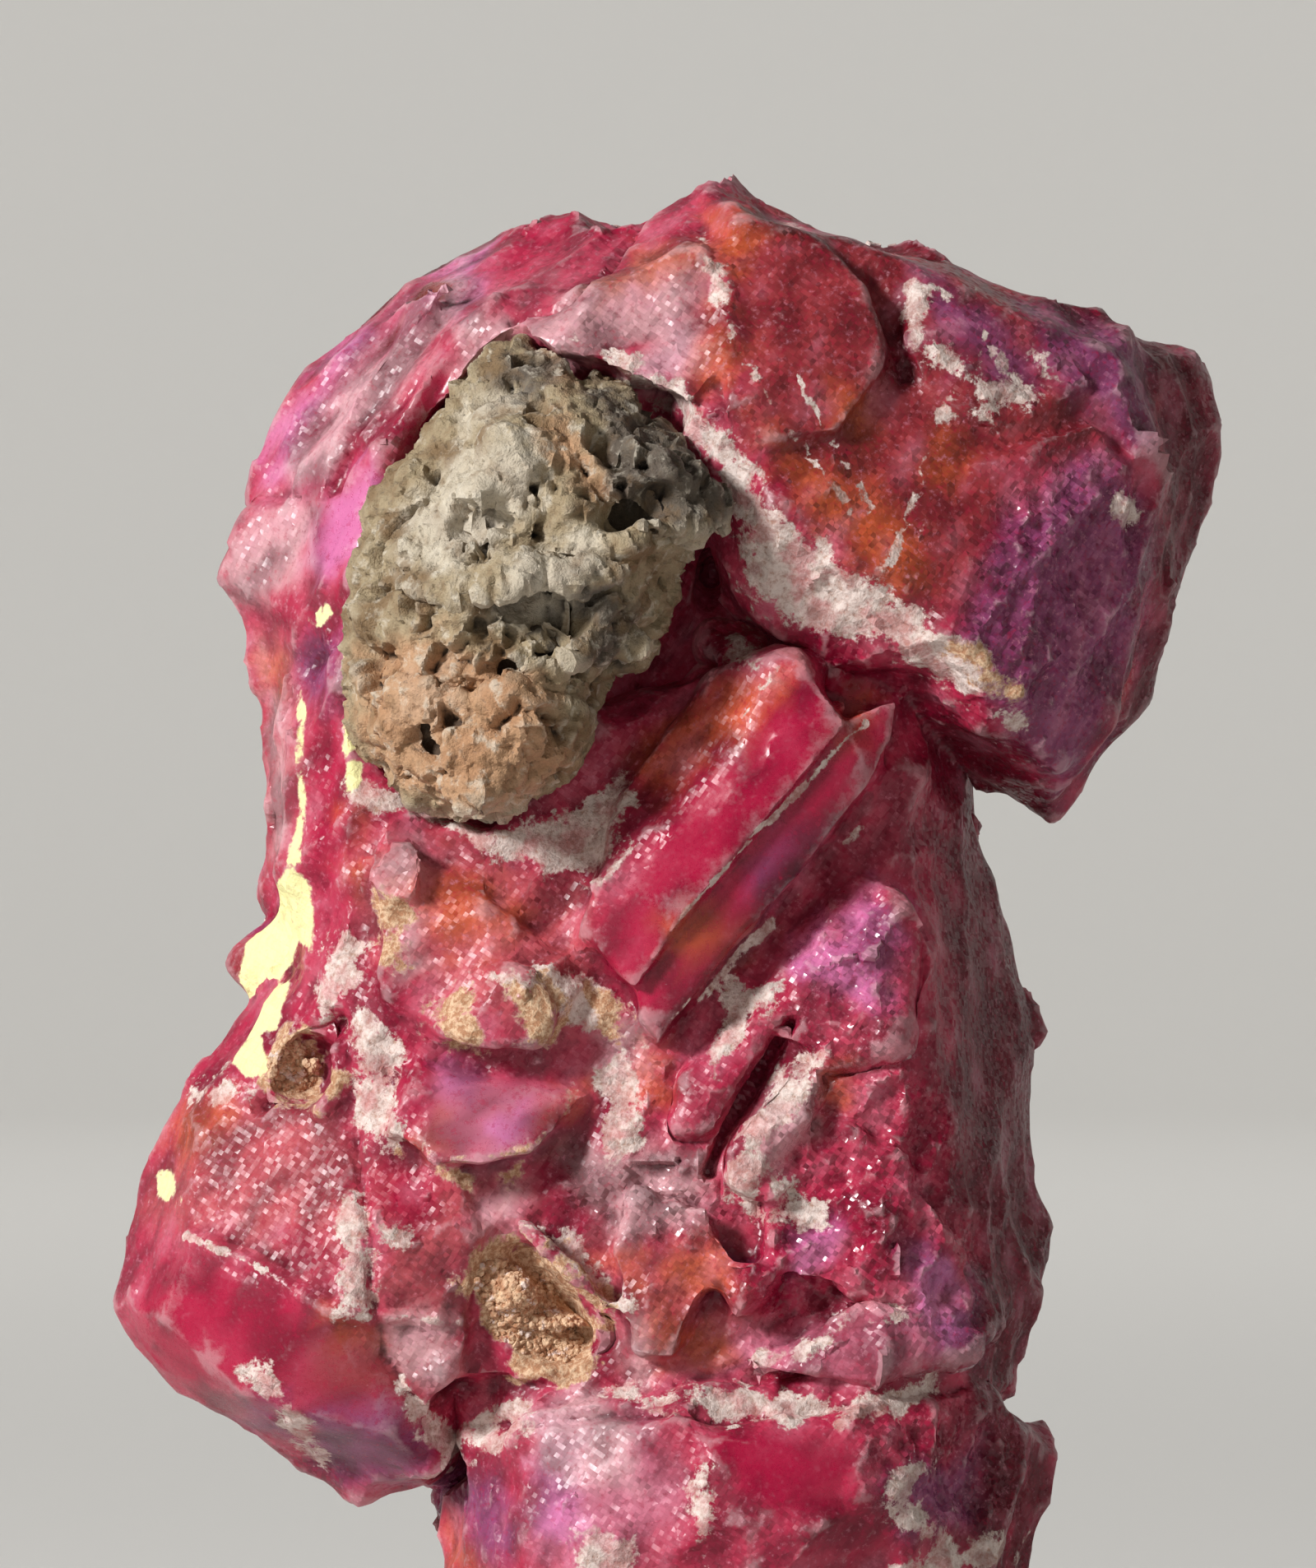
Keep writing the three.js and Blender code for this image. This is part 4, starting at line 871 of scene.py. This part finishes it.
class Surface:
    """A fine surface as arrays, in millimetres, with the fields that shape and colour it."""

    def __init__(self, mesh):
        self.mesh = mesh
        self.points = mesh_array(mesh.vertices, "co", 3)
        self.normals = mesh_array(mesh.vertices, "normal", 3)
        self.edges = mesh_array(mesh.edges, "vertices", 2).astype(int)

    def each(self, function, size, seed, stretch=1.0):
        """A function's value at every point, in units of a size, drawn out along the growth axis."""
        axis = np.array((math.cos(GROWTH_TURN), 0.0, math.sin(GROWTH_TURN)))
        places = self.points - np.outer(self.points @ axis, axis) * (1 - 1 / stretch)
        shift = Vector((seed, 2.3 * seed, 3.1 * seed))
        values = (function(Vector(place) / size + shift) for place in places)
        return np.fromiter(values, float, len(self.points))

    def waves(self, size, octaves, seed, stretch):
        """Rolling noise between about -1 and 1."""
        return self.each(lambda place: noise.fractal(place, 1.0, 2.0, octaves), size, seed, stretch)

    def leaning_cells(self, size, seed):
        """Height of flat broken faces that each lean their own way, for a lean of one."""
        return size * self.each(lean_at, size, seed)

    def chips(self, size, seed, stretch):
        """Height of hollow broken faces that meet in sharp ridges, about none on the whole."""
        heights = size * self.each(chip_at, size, seed, stretch)
        return heights - heights.mean()

    def knobs(self, size, seed):
        """Rounded lumps side by side, one on their tops and about none between them."""
        return 1.0 - 1.4 * self.each(lambda place: noise.voronoi(place)[0][0], size, seed)

    def smoothed(self, values, rounds):
        """Values evened out with their neighbours', round by round."""
        first, second = self.edges.T
        count = np.bincount(self.edges.ravel(), minlength=len(values))[:, None]
        for _ in range(rounds):
            total = np.stack([
                np.bincount(first, column[second], len(values))
                + np.bincount(second, column[first], len(values))
                for column in values.T], axis=1)
            values = (values + total) / (count + 1)
        return values

    def ridges(self, rounds):
        """How far each point stands above its surroundings, in millimetres."""
        return ((self.points - self.smoothed(self.points, rounds)) * self.normals).sum(axis=1)

    def seen_from_front(self, tree):
        """One where a solid doesn't hide the surface from the front, none where it does."""
        seen = np.zeros((len(self.points), 1))
        for index, (x, y, z) in enumerate(self.points):
            hit = tree.ray_cast(Vector((x, RAY_START, z)), Vector((0, 1, 0)))[0]
            seen[index] = self.normals[index, 1] < 0.2 if hit is None else y < hit.y + DEPTH_SLACK
        return self.smoothed(seen, SEEN_ROUNDS)[:, 0]

    def patch_depth(self, outlines):
        """Depth inside the nearest outline, in millimetres, below none outside it."""
        depth = np.full(len(self.points), -FIELD_REACH)
        places = self.points[:, [0, 2]]
        for outline in outlines:
            low = np.min(outline, axis=0) - FIELD_REACH
            high = np.max(outline, axis=0) + FIELD_REACH
            near = np.all((places > low) & (places < high), axis=1)
            depth[near] = np.maximum(depth[near], outline_depth(places[near], outline))
        return np.clip(depth, -FIELD_REACH, FIELD_REACH)

    def line_share(self, tree, line, radius):
        """One along a line on the front, falling to none at twice its radius."""
        share = np.zeros(len(self.points))
        hits = np.array(front_points(tree, line, radius))
        low = hits.min(axis=0) - 2 * radius
        high = hits.max(axis=0) + 2 * radius
        near = np.all((self.points > low) & (self.points < high), axis=1)
        apart = self.points[near][:, None, :] - hits[None, :, :]
        distance = np.sqrt((apart ** 2).sum(axis=2)).min(axis=1)
        share[near] = step_up(1 - distance / (2 * radius), 0.1, 0.9)
        return share

    def move_by(self, shift):
        """Moves the points, but not the foot that it stands on, and reads the new normals."""
        footing = np.clip(self.points[:, 2:] / FOOT_HEIGHT, 0, 1)
        self.points = self.points + footing * shift
        self.mesh.vertices.foreach_set("co", self.points.ravel())
        self.mesh.update()
        self.normals = mesh_array(self.mesh.vertices, "normal", 3)

    def raise_by(self, height):
        """Moves the points out along their normals."""
        self.move_by(self.normals * height[:, None])

    def round_off(self, rounds, share):
        """Wears edges and joints round by a share at every point."""
        self.move_by(share[:, None] * (self.smoothed(self.points, rounds) - self.points))

    def keep(self, name, values):
        """Stores a field on the mesh for its material."""
        layer = self.mesh.attributes.new(name, "FLOAT", "POINT")
        layer.data.foreach_set("value", values.astype(np.float32))

    def keep_color(self, colors):
        """Stores the ground colour on the mesh for its material."""
        layer = self.mesh.attributes.new("ground", "FLOAT_COLOR", "POINT")
        full = np.column_stack([colors, np.ones(len(colors))])
        layer.data.foreach_set("color", full.astype(np.float32).ravel())


def lean_at(place):
    """Height of one leaning cell at a place."""
    middle = noise.voronoi(place)[1][0]
    lean = noise.cell_vector(middle) - Vector((0.5, 0.5, 0.5))
    return lean.dot(place - middle)


def chip_at(place):
    """Height of the deepest of the leaning hollow faces around a place."""
    depths = []
    for middle in noise.voronoi(place)[1]:
        reach = place - middle
        lean = noise.cell_vector(middle * CELL_SPREAD) - Vector((0.5, 0.5, 0.5))
        depths.append(CHIP_HOLLOW * reach.length_squared + lean.dot(reach))
    return min(depths)


def front_points(tree, line, step):
    """Points along a line of across and up, laid on the front of a surface."""
    points = []
    for (x0, z0), (x1, z1) in zip(line, line[1:]):
        pieces = 1 + int(math.hypot(x1 - x0, z1 - z0) / step)
        for index in range(pieces + 1):
            share = index / pieces
            start = Vector((x0 + (x1 - x0) * share, RAY_START, z0 + (z1 - z0) * share))
            hit = tree.ray_cast(start, Vector((0, 1, 0)))[0]
            if hit is not None:
                points.append(hit)
    return points


def outline_depth(places, outline):
    """Distance to a closed outline, counted below none outside it."""
    nearest = np.full(len(places), np.inf)
    inside = np.zeros(len(places), bool)
    for start, end in zip(outline, outline[1:] + outline[:1]):
        along = np.subtract(end, start)
        reach = places - start
        share = np.clip(reach @ along / (along @ along), 0, 1)
        nearest = np.minimum(nearest, np.hypot(*(reach - share[:, None] * along).T))
        spans = (start[1] > places[:, 1]) != (end[1] > places[:, 1])
        turn = along[0] * reach[:, 1] - along[1] * reach[:, 0]
        inside ^= spans & ((turn < 0) == (along[1] > 0)) & (turn != 0)
    return np.where(inside, nearest, -nearest)


def back_depth(surface, share, seed):
    """A field like a finish's depth, by slow noise, over about a share of the surface."""
    patches = surface.waves(BACK_PATCH, BACK_OCTAVES, seed, BACK_STRETCH)
    above = patches - np.quantile(patches, 1 - share)
    return np.clip(above * BACK_DEPTH, -FIELD_REACH, FIELD_REACH)


def step_up(values, low, high):
    share = np.clip((values - low) / (high - low), 0, 1)
    return share * share * (3 - 2 * share)


def evenly(color, count):
    """One colour at every point."""
    return np.tile(np.array(color), (count, 1))


def laid_over(colors, mask, color):
    """Colours with another laid over them by a mask."""
    return colors + mask[:, None] * (np.array(color) - colors)


def layered(colors, layers, depths, ragged, settings):
    """Colours with finishes laid over them in order, each with a ragged edge."""
    for name, soft, strength in layers:
        mask = strength * step_up(depths[name] + ragged, -soft, soft)
        colors = laid_over(colors, mask, getattr(settings, name))
    return colors


# Ruby

def ruby_fields(surface, seen, names):
    """The depth of each named finish on the ruby."""
    fields = {}
    for name in names:
        front = surface.patch_depth(RUBY_PATCHES[name])
        share = BACK_SHARES[name]
        back = back_depth(surface, share, len(name) + 10 * share) if share > 0 else -FIELD_REACH
        fields[name] = seen * front + (1 - seen) * back
    return fields


def broken_faces(surface, sugary, skin, ruby):
    """Height of the ruby's ledges, small chips and sugary grains, in millimetres."""
    ledges = ruby.ledge_slope * surface.chips(ruby.ledge_size / MM, *LEDGES)
    chips = ruby.chip_slope * surface.chips(ruby.chip_size / MM, *CHIPS)
    grains = ruby.grain_slope * surface.chips(ruby.grain_size / MM, *GRAINS)
    return ledges + chips * (0.7 + 0.3 * sugary) + grains * sugary * (1 - skin)


def wear_ruby(surface, tree, settings):
    """Rounds the ruby's edges and adds its broken faces, cracks and skin."""
    ruby = settings.ruby
    seen = surface.seen_from_front(tree)
    fields = ruby_fields(surface, seen, ["flat", "calm", "sugary", "grey_skin"])
    rough = 1 - FLATNESS * step_up(fields["flat"], *FLAT_EDGE)
    sugary = step_up(fields["sugary"], *WIDE_EDGE)
    skin = step_up(fields["grey_skin"] + SKIN_TEAR * surface.waves(*WAVES["skin_edge"]), *SKIN_RISE)
    surface.round_off(ruby.rounding, rough)
    calmed = rough * (1 - CALMNESS * step_up(fields["calm"], *WIDE_EDGE))
    height = calmed * broken_faces(surface, sugary, skin, ruby)
    grains = 1 + SKIN_GRAIN * surface.waves(*WAVES["skin_grains"])
    height += (settings.coat.height / MM) * skin * grains
    for radius, middle in PIT_FLOORS:
        height += PIT_FILL * surface.line_share(tree, [middle, middle], radius)
    for rise, radius, line in RUBY_LINES:
        height += rise * surface.line_share(tree, line, radius)
    surface.raise_by(height)


def ruby_ground(surface, fields, ruby):
    """The crystal's own colour at every point, with ragged edges between its colours."""
    ragged = 0.45 * surface.waves(*WAVES["ragged"]) + 0.25 * surface.waves(*WAVES["fine_ragged"])
    flow = step_up(surface.waves(*WAVES["flow"]), *FLOW_LEVEL)
    colors = laid_over(evenly(ruby.rose, len(flow)), 0.6 * flow, ruby.crimson)
    colors = layered(colors, GROUND_LAYERS, fields, ragged, ruby)
    veils = surface.waves(*WAVES["veils"])
    milky = 1 - FLAT_CLEARNESS * step_up(fields["flat"], *FLAT_EDGE)
    colors = laid_over(colors, 0.3 * milky * step_up(veils, *VEIL_LEVEL), ruby.pale)
    return laid_over(colors, 0.55 * step_up(-veils, *SHADE_LEVEL), ruby.depth)


def crystal_color(place, specks, flat, ruby):
    """The ground colour with fine specks, worn edges and painted shade in the clefts."""
    milky = specks.step(*PALE_SPECKS) * (1.0 - flat * FLAT_CLEARNESS)
    color = blend(milky * 0.45, ground_color(place), ruby.pale)
    color = blend((1.0 - specks.step(*DARK_SPECKS)) * 0.4, color, ruby.crimson)
    ridge = field(place, "ridge") + (specks - 0.5) * 0.06
    color = blend(ridge.step(*RUBY_WEAR) * 0.3, color, ruby.frost)
    # Painted shade: clefts lying below their surroundings are darkened toward the depth colour
    return blend((0.0 - ridge).step(*RUBY_PAINTED_CLEFT_SHADE) * 0.6, color, ruby.depth)


def crystal_shader(place, specks, ruby):
    """Glassy, cloudy ruby with small leaning faces."""
    sugary = field(place, "sugary").step(*WIDE_EDGE)
    flat = field(place, "flat").step(*FLAT_EDGE)
    height = facets(place, RUBY_FACET) * (0.55 - 0.48 * flat + 0.35 * sugary)
    inputs = {
        "Base Color": crystal_color(place, specks, flat, ruby),
        "Roughness": 0.2 + specks * 0.3 - sugary * 0.14 - flat * 0.06,
        "IOR": ruby.refraction,
        "Specular IOR Level": ruby.gloss,
        "Transmission Weight": ruby.clearness,
        "Normal": bump(height, 0.9),
    }
    return principled(place, inputs)


def coat_fields(place, specks):
    """The depth of each coating with its edge torn by noise."""
    torn = (specks - 0.5) * 0.9
    skin = field(place, "grey_skin") + torn
    earth = field(place, "ochre") + torn
    film = field(place, "yellow_film") + torn * 0.2
    return skin, earth, film


def coat_shader(place, coat, earth, film):
    """Grey skin, ochre crust and yellow film, all dull and granular."""
    speckle = clouds(place, *CLOUDS["coat_speckle"])
    mottle = clouds(place, *CLOUDS["coat_mottle"])
    color = blend((speckle * 0.65 + mottle * 0.35).step(*LIGHT_SKIN), coat.skin, coat.skin_light)
    color = blend((1.0 - speckle.step(*DARK_SKIN)) * 0.35, color, coat.ochre_dark)
    color = blend((1.0 - mottle.step(*BARE_SKIN)) * 0.35, color, ground_color(place))
    crust = blend(speckle.step(*LIGHT_CRUST), coat.ochre_dark, coat.ochre)
    color = blend(earth.step(*CRUST_EDGE), color, crust)
    chalk = blend((1.0 - speckle.step(*CHALK_FLECKS)) * 0.5, coat.yellow, coat.ochre)
    color = blend(film.step(*FILM_EDGE), color, chalk)
    height = speckle * 0.07 + facets(place, COAT_FACET) * 0.6
    inputs = {"Base Color": color, "Roughness": 0.82 + speckle * 0.15, "Normal": bump(height, 0.9)}
    return principled(place, inputs)


def ruby_material(settings):
    material, output, place = new_material("ruby_with_coats")
    specks = clouds(place, *CLOUDS["ruby_specks"])
    skin, earth, film = coat_fields(place, specks)
    mask = skin.step(*SKIN_EDGE).top(earth.step(*EARTH_EDGE)).top(film.step(*FILM_EDGE))
    shaders = {
        0: mask,
        1: crystal_shader(place, specks, settings.ruby),
        2: coat_shader(place, settings.coat, earth, film),
    }
    return closed(material, output, place.make("MixShader", None, shaders))


def finish_piece(piece, material, node_name):
    """Brings a piece back to metres, gives it its finish and puts it in its node's place."""
    piece.data.transform(Matrix.Scale(MM, 4))
    piece.data.materials.clear()
    piece.data.materials.append(material)
    piece.data.set_sharp_from_angle(angle=SHARP_EDGE)
    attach(piece, "root")
    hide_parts(node_name)


def build_ruby(settings):
    shape = merged_copy("ruby_crystals")
    tree = BVHTree.FromBMesh(shape)
    piece = fine_piece(shape, "ruby_surface", settings.ruby.grid)
    shape.free()
    wear_ruby(Surface(piece.data), tree, settings)
    thin_out(piece, settings.ruby.triangles)
    surface = Surface(piece.data)
    fields = ruby_fields(surface, surface.seen_from_front(tree), RUBY_PATCHES)
    for radius, line in PALE_VEINS:
        vein = (FIELD_REACH + VEIN_DEPTH) * surface.line_share(tree, line, radius) - FIELD_REACH
        fields["grey_skin"] = np.maximum(fields["grey_skin"], vein)
    torn = surface.waves(*WAVES["torn"])
    for name, share in KEPT_FIELDS:
        surface.keep(name, fields[name] + share * torn)
    surface.keep("ridge", surface.ridges(RUBY_RIDGE_ROUNDS))
    surface.keep_color(ruby_ground(surface, fields, settings.ruby))
    finish_piece(piece, ruby_material(settings), "ruby_crystals")


class SPECIMEN_OT_ruby(bpy.types.Operator):
    """Builds the ruby's fine surface with its coatings"""

    bl_idname = "specimen.ruby"
    bl_label = "Ruby"

    def execute(self, context):
        build_ruby(context.scene.specimen)
        return {"FINISHED"}


# Host rock

def rock_relief(surface, tree, rock):
    """Height of the rock's knobs, pits, chips and grains, in millimetres."""
    lump = rock.lump / MM
    height = rock.swell / MM + 0.9 * lump * surface.waves(*WAVES["rock_swell"])
    height += 0.8 * lump * surface.knobs(*ROCK_KNOBS)
    height -= 1.8 * lump * step_up(surface.waves(*WAVES["rock_pits"]), *PIT_LEVEL)
    height += 0.5 * surface.leaning_cells(*ROCK_CHIPS)
    for depth, radius, line in ROCK_PITS:
        height -= depth * surface.line_share(tree, line, radius)
    return height + 0.25 * lump * surface.waves(*WAVES["rock_grains"])


def rock_ground(surface, rock):
    """The rock's colour at every point."""
    ragged = 0.4 * surface.waves(*WAVES["rock_ragged"]) + 0.3 * surface.waves(*WAVES["rock_fine_ragged"])
    stain = step_up(surface.waves(*WAVES["rock_stain"]), *STAIN_LEVEL)
    colors = laid_over(evenly(rock.tan, len(stain)), stain * 0.8, rock.brown)
    depths = {name: surface.patch_depth(outlines) for name, outlines in ROCK_PATCHES.items()}
    return layered(colors, ROCK_LAYERS, depths, ragged, rock)


def rock_material(rock):
    material, output, place = new_material("host_rock")
    speckle = clouds(place, *CLOUDS["rock_speckle"])
    mottle = clouds(stirred(place, 0.8, 0.5), *CLOUDS["rock_mottle"])
    color = blend((1.0 - mottle.step(*ROCK_STAIN)) * 0.5, ground_color(place), rock.brown)
    color = blend(mottle.step(*ROCK_CREAM) * 0.6, color, rock.cream)
    color = blend((1.0 - speckle.step(*ROCK_ASH)) * 0.5, color, rock.ash)
    ridge = field(place, "ridge") + (speckle - 0.5) * 0.08
    color = blend(ridge.step(*ROCK_WEAR) * 0.4, color, rock.cream)
    # Painted shade: hollows and pits lying below their surroundings are darkened almost to black
    color = blend((0.0 - ridge).step(*ROCK_PAINTED_HOLLOW_SHADE) * 0.85, color, rock.painted_hollow_shade)
    dust = clouds(place, *CLOUDS["rock_dust"])
    height = speckle * 0.1 + dust * 0.04 + facets(place, ROCK_FACET) * 0.35
    inputs = {"Base Color": color, "Roughness": 0.65 + speckle * 0.3, "Normal": bump(height, 0.9)}
    return closed(material, output, principled(place, inputs))


def build_rock(settings):
    shape = merged_copy("host_rock")
    tree = BVHTree.FromBMesh(shape)
    piece = fine_piece(shape, "host_rock_surface", settings.rock.grid)
    shape.free()
    plain = Surface(piece.data)
    plain.raise_by(rock_relief(plain, tree, settings.rock))
    surface = Surface(piece.data)
    surface.keep("ridge", surface.ridges(ROCK_RIDGE_ROUNDS))
    surface.keep_color(rock_ground(surface, settings.rock))
    finish_piece(piece, rock_material(settings.rock), "host_rock")


class SPECIMEN_OT_rock(bpy.types.Operator):
    """Builds the lump of host rock in the ruby's hollow"""

    bl_idname = "specimen.rock"
    bl_label = "Host rock"

    def execute(self, context):
        build_rock(context.scene.specimen)
        return {"FINISHED"}


# Loose grains in the ochre pits

def piece_tree(name):
    """A search tree of a finished piece, in metres."""
    graph = bpy.context.evaluated_depsgraph_get()
    return BVHTree.FromObject(bpy.data.objects[name], graph)


def pit_places(count, tree, dice):
    """Places on the pits' floors, spread evenly."""
    places = []
    while len(places) < count:
        radius, (across, up) = dice.choice(PIT_FLOORS)
        turn = dice.uniform(0, 2 * math.pi)
        reach = radius * math.sqrt(dice.random())
        start = Vector((across + reach * math.cos(turn), RAY_START, up + reach * math.sin(turn))) * MM
        hit = tree.ray_cast(start, Vector((0, 1, 0)))[0]
        if hit is not None:
            places.append(hit)
    return places


def grain_shape():
    """One rough grain of 20 faces and radius one."""
    shape = bmesh.new()
    bmesh.ops.create_icosphere(shape, subdivisions=1, radius=1.0)
    mesh = bpy.data.meshes.new("grain")
    shape.to_mesh(mesh)
    shape.free()
    return mesh


def scattered(name, grain, places, sizes, dice):
    """One mesh of many turned copies of a grain."""
    corners = mesh_array(grain.vertices, "co", 3)
    faces = mesh_array(grain.polygons, "vertices", 3).astype(int)
    all_corners = []
    all_faces = []
    for index, (place, size) in enumerate(zip(places, sizes)):
        turn = Matrix.Rotation(dice.uniform(0, GRAIN_TURN), 3, Vector((dice.random(), dice.random(), 1)))
        stretch = np.array([dice.uniform(*GRAIN_STRETCH) for _ in range(3)])
        all_corners.append((corners * stretch) @ np.array(turn).T * size + np.array(place))
        all_faces.append(faces + index * len(corners))
    mesh = bpy.data.meshes.new(name)
    mesh.from_pydata(np.concatenate(all_corners).tolist(), [], np.concatenate(all_faces).tolist())
    return mesh


def grain_material(coat):
    material, output, place = new_material("ochre_grains")
    tint = clouds(place, *CLOUDS["grain_tint"])
    flecks = clouds(place, *CLOUDS["grain_flecks"])
    color = blend(tint.step(*GRAIN_LIGHT), coat.ochre_dark, coat.ochre)
    color = blend(flecks.step(*GRAIN_FLECKS) * 0.8, color, coat.skin_light)
    height = clouds(place, *CLOUDS["grain_dust"]) * 0.03
    inputs = {"Base Color": color, "Roughness": 0.75 + tint * 0.2, "Normal": bump(height, 0.8)}
    return closed(material, output, principled(place, inputs))


def build_grains(settings):
    dice = random.Random(GRAIN_SEED)
    grains = settings.grains
    places = pit_places(grains.count, piece_tree("ruby_surface"), dice)
    spread = grains.largest - grains.smallest
    sizes = [grains.smallest + spread * dice.random() ** GRAIN_RARITY for _ in places]
    piece = show("ochre_grains", scattered("ochre_grains", grain_shape(), places, sizes, dice))
    piece.data.materials.append(grain_material(settings.coat))
    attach(piece, "root")


class SPECIMEN_OT_grains(bpy.types.Operator):
    """Scatters the loose grains in the ochre pits"""

    bl_idname = "specimen.grains"
    bl_label = "Ochre grains"

    def execute(self, context):
        build_grains(context.scene.specimen)
        return {"FINISHED"}


# Stage

def sweep_profile(radius):
    """Floor, bend and wall of the round sweep, from its middle outwards."""
    bend = radius / 3
    points = [(0.0, 0.0), (radius - bend, 0.0)]
    for step in range(1, SWEEP_BEND_STEPS + 1):
        turn = math.radians(90 * step / SWEEP_BEND_STEPS)
        points.append((radius - bend + bend * math.sin(turn), bend - bend * math.cos(turn)))
    return points + [(radius, radius)]


def build_floor(stage):
    shape = bmesh.new()
    corners = [shape.verts.new((x, 0, z - FLOOR_GAP)) for x, z in sweep_profile(stage.floor_radius)]
    edges = [shape.edges.new(pair) for pair in zip(corners, corners[1:])]
    bmesh.ops.spin(
        shape, geom=corners + edges, cent=(0, 0, 0), axis=(0, 0, 1), angle=2 * math.pi,
        steps=SWEEP_TURN_STEPS, use_merge=True)
    bmesh.ops.remove_doubles(shape, verts=shape.verts, dist=0.1 * MM)
    bmesh.ops.recalc_face_normals(shape, faces=shape.faces)
    mesh = bpy.data.meshes.new("floor")
    shape.to_mesh(mesh)
    shape.free()
    mesh.shade_smooth()
    floor = show("floor", mesh)
    mesh.materials.append(floor_material(stage))


def floor_material(stage):
    material, output, place = new_material("pale_floor")
    return closed(material, output, place.make("BsdfDiffuse", None, {"Color": paint(stage.floor)}))


def aim(holder, target):
    direction = Vector(target) - holder.location
    holder.rotation_euler = direction.to_track_quat("-Z", "Y").to_euler()


def area_light(name, place, target, power, size):
    light = bpy.data.lights.new(name, "AREA")
    light.energy = power
    light.shape = "DISK"
    light.size = size
    holder = bpy.data.objects.new(name, light)
    holder.location = place
    holder.visible_camera = False
    bpy.context.scene.collection.objects.link(holder)
    aim(holder, target)


def build_camera(stage):
    camera = bpy.data.cameras.new("camera")
    camera.sensor_width = SENSOR
    camera.lens = SENSOR * stage.distance / (PICTURE_HEIGHT * PICTURE_PIXEL)
    camera.clip_end = FARTHEST
    holder = bpy.data.objects.new("camera", camera)
    holder.location = (0.0, -stage.distance, VIEW_HEIGHT)
    holder.rotation_euler = (math.radians(90), 0.0, 0.0)
    bpy.context.scene.collection.objects.link(holder)
    bpy.context.scene.camera = holder


def build_stage(stage):
    middle = (0.0, 0.0, VIEW_HEIGHT)
    build_floor(stage)
    build_camera(stage)
    area_light("key", KEY_PLACE, middle, stage.key, KEY_SIZE)
    area_light("backdrop", BACKDROP_PLACE, BACKDROP_TARGET, stage.back, BACKDROP_SIZE)
    build_sky(stage.sky)
    bpy.context.scene.view_settings.view_transform = "Standard"


def build_sky(strength):
    """Even white light from all around."""
    world = bpy.data.worlds.new("studio")
    world.use_nodes = True
    background = world.node_tree.nodes["Background"]
    background.inputs["Color"].default_value = (1.0, 1.0, 1.0, 1.0)
    background.inputs["Strength"].default_value = strength
    bpy.context.scene.world = world


class SPECIMEN_OT_stage(bpy.types.Operator):
    """Builds the pale floor, the lights and the camera"""

    bl_idname = "specimen.stage"
    bl_label = "Stage"

    def execute(self, context):
        build_stage(context.scene.specimen.stage)
        return {"FINISHED"}


# Panel and registration

class VIEW3D_PT_specimen(bpy.types.Panel):
    """Lists the specimen's settings and builders."""

    bl_label = "Ruby Crystal"
    bl_idname = "VIEW3D_PT_specimen"
    bl_space_type = "VIEW_3D"
    bl_region_type = "UI"
    bl_category = "Specimen"

    def draw(self, context):
        for operator, group_names in BUILDERS.items():
            box = self.layout.box()
            for group_name in group_names:
                group = getattr(context.scene.specimen, group_name)
                for name in group.__annotations__:
                    box.prop(group, name)
            box.operator(operator)


BUILDERS = {
    "specimen.ruby": ["ruby", "coat"],
    "specimen.rock": ["rock"],
    "specimen.grains": ["grains"],
    "specimen.stage": ["stage"],
}

CLASSES = [
    RubySettings, CoatSettings, RockSettings, GrainSettings, StageSettings, SpecimenSettings,
    SPECIMEN_OT_ruby, SPECIMEN_OT_rock, SPECIMEN_OT_grains, SPECIMEN_OT_stage, VIEW3D_PT_specimen,
]


def register():
    for cls in CLASSES:
        bpy.utils.register_class(cls)
    bpy.types.Scene.specimen = PointerProperty(type=SpecimenSettings)


def unregister():
    del bpy.types.Scene.specimen
    for cls in reversed(CLASSES):
        bpy.utils.unregister_class(cls)


def main():
    register()
    bpy.ops.specimen.ruby()
    bpy.ops.specimen.rock()
    bpy.ops.specimen.grains()
    bpy.ops.specimen.stage()


if __name__ == "__main__":
    main()
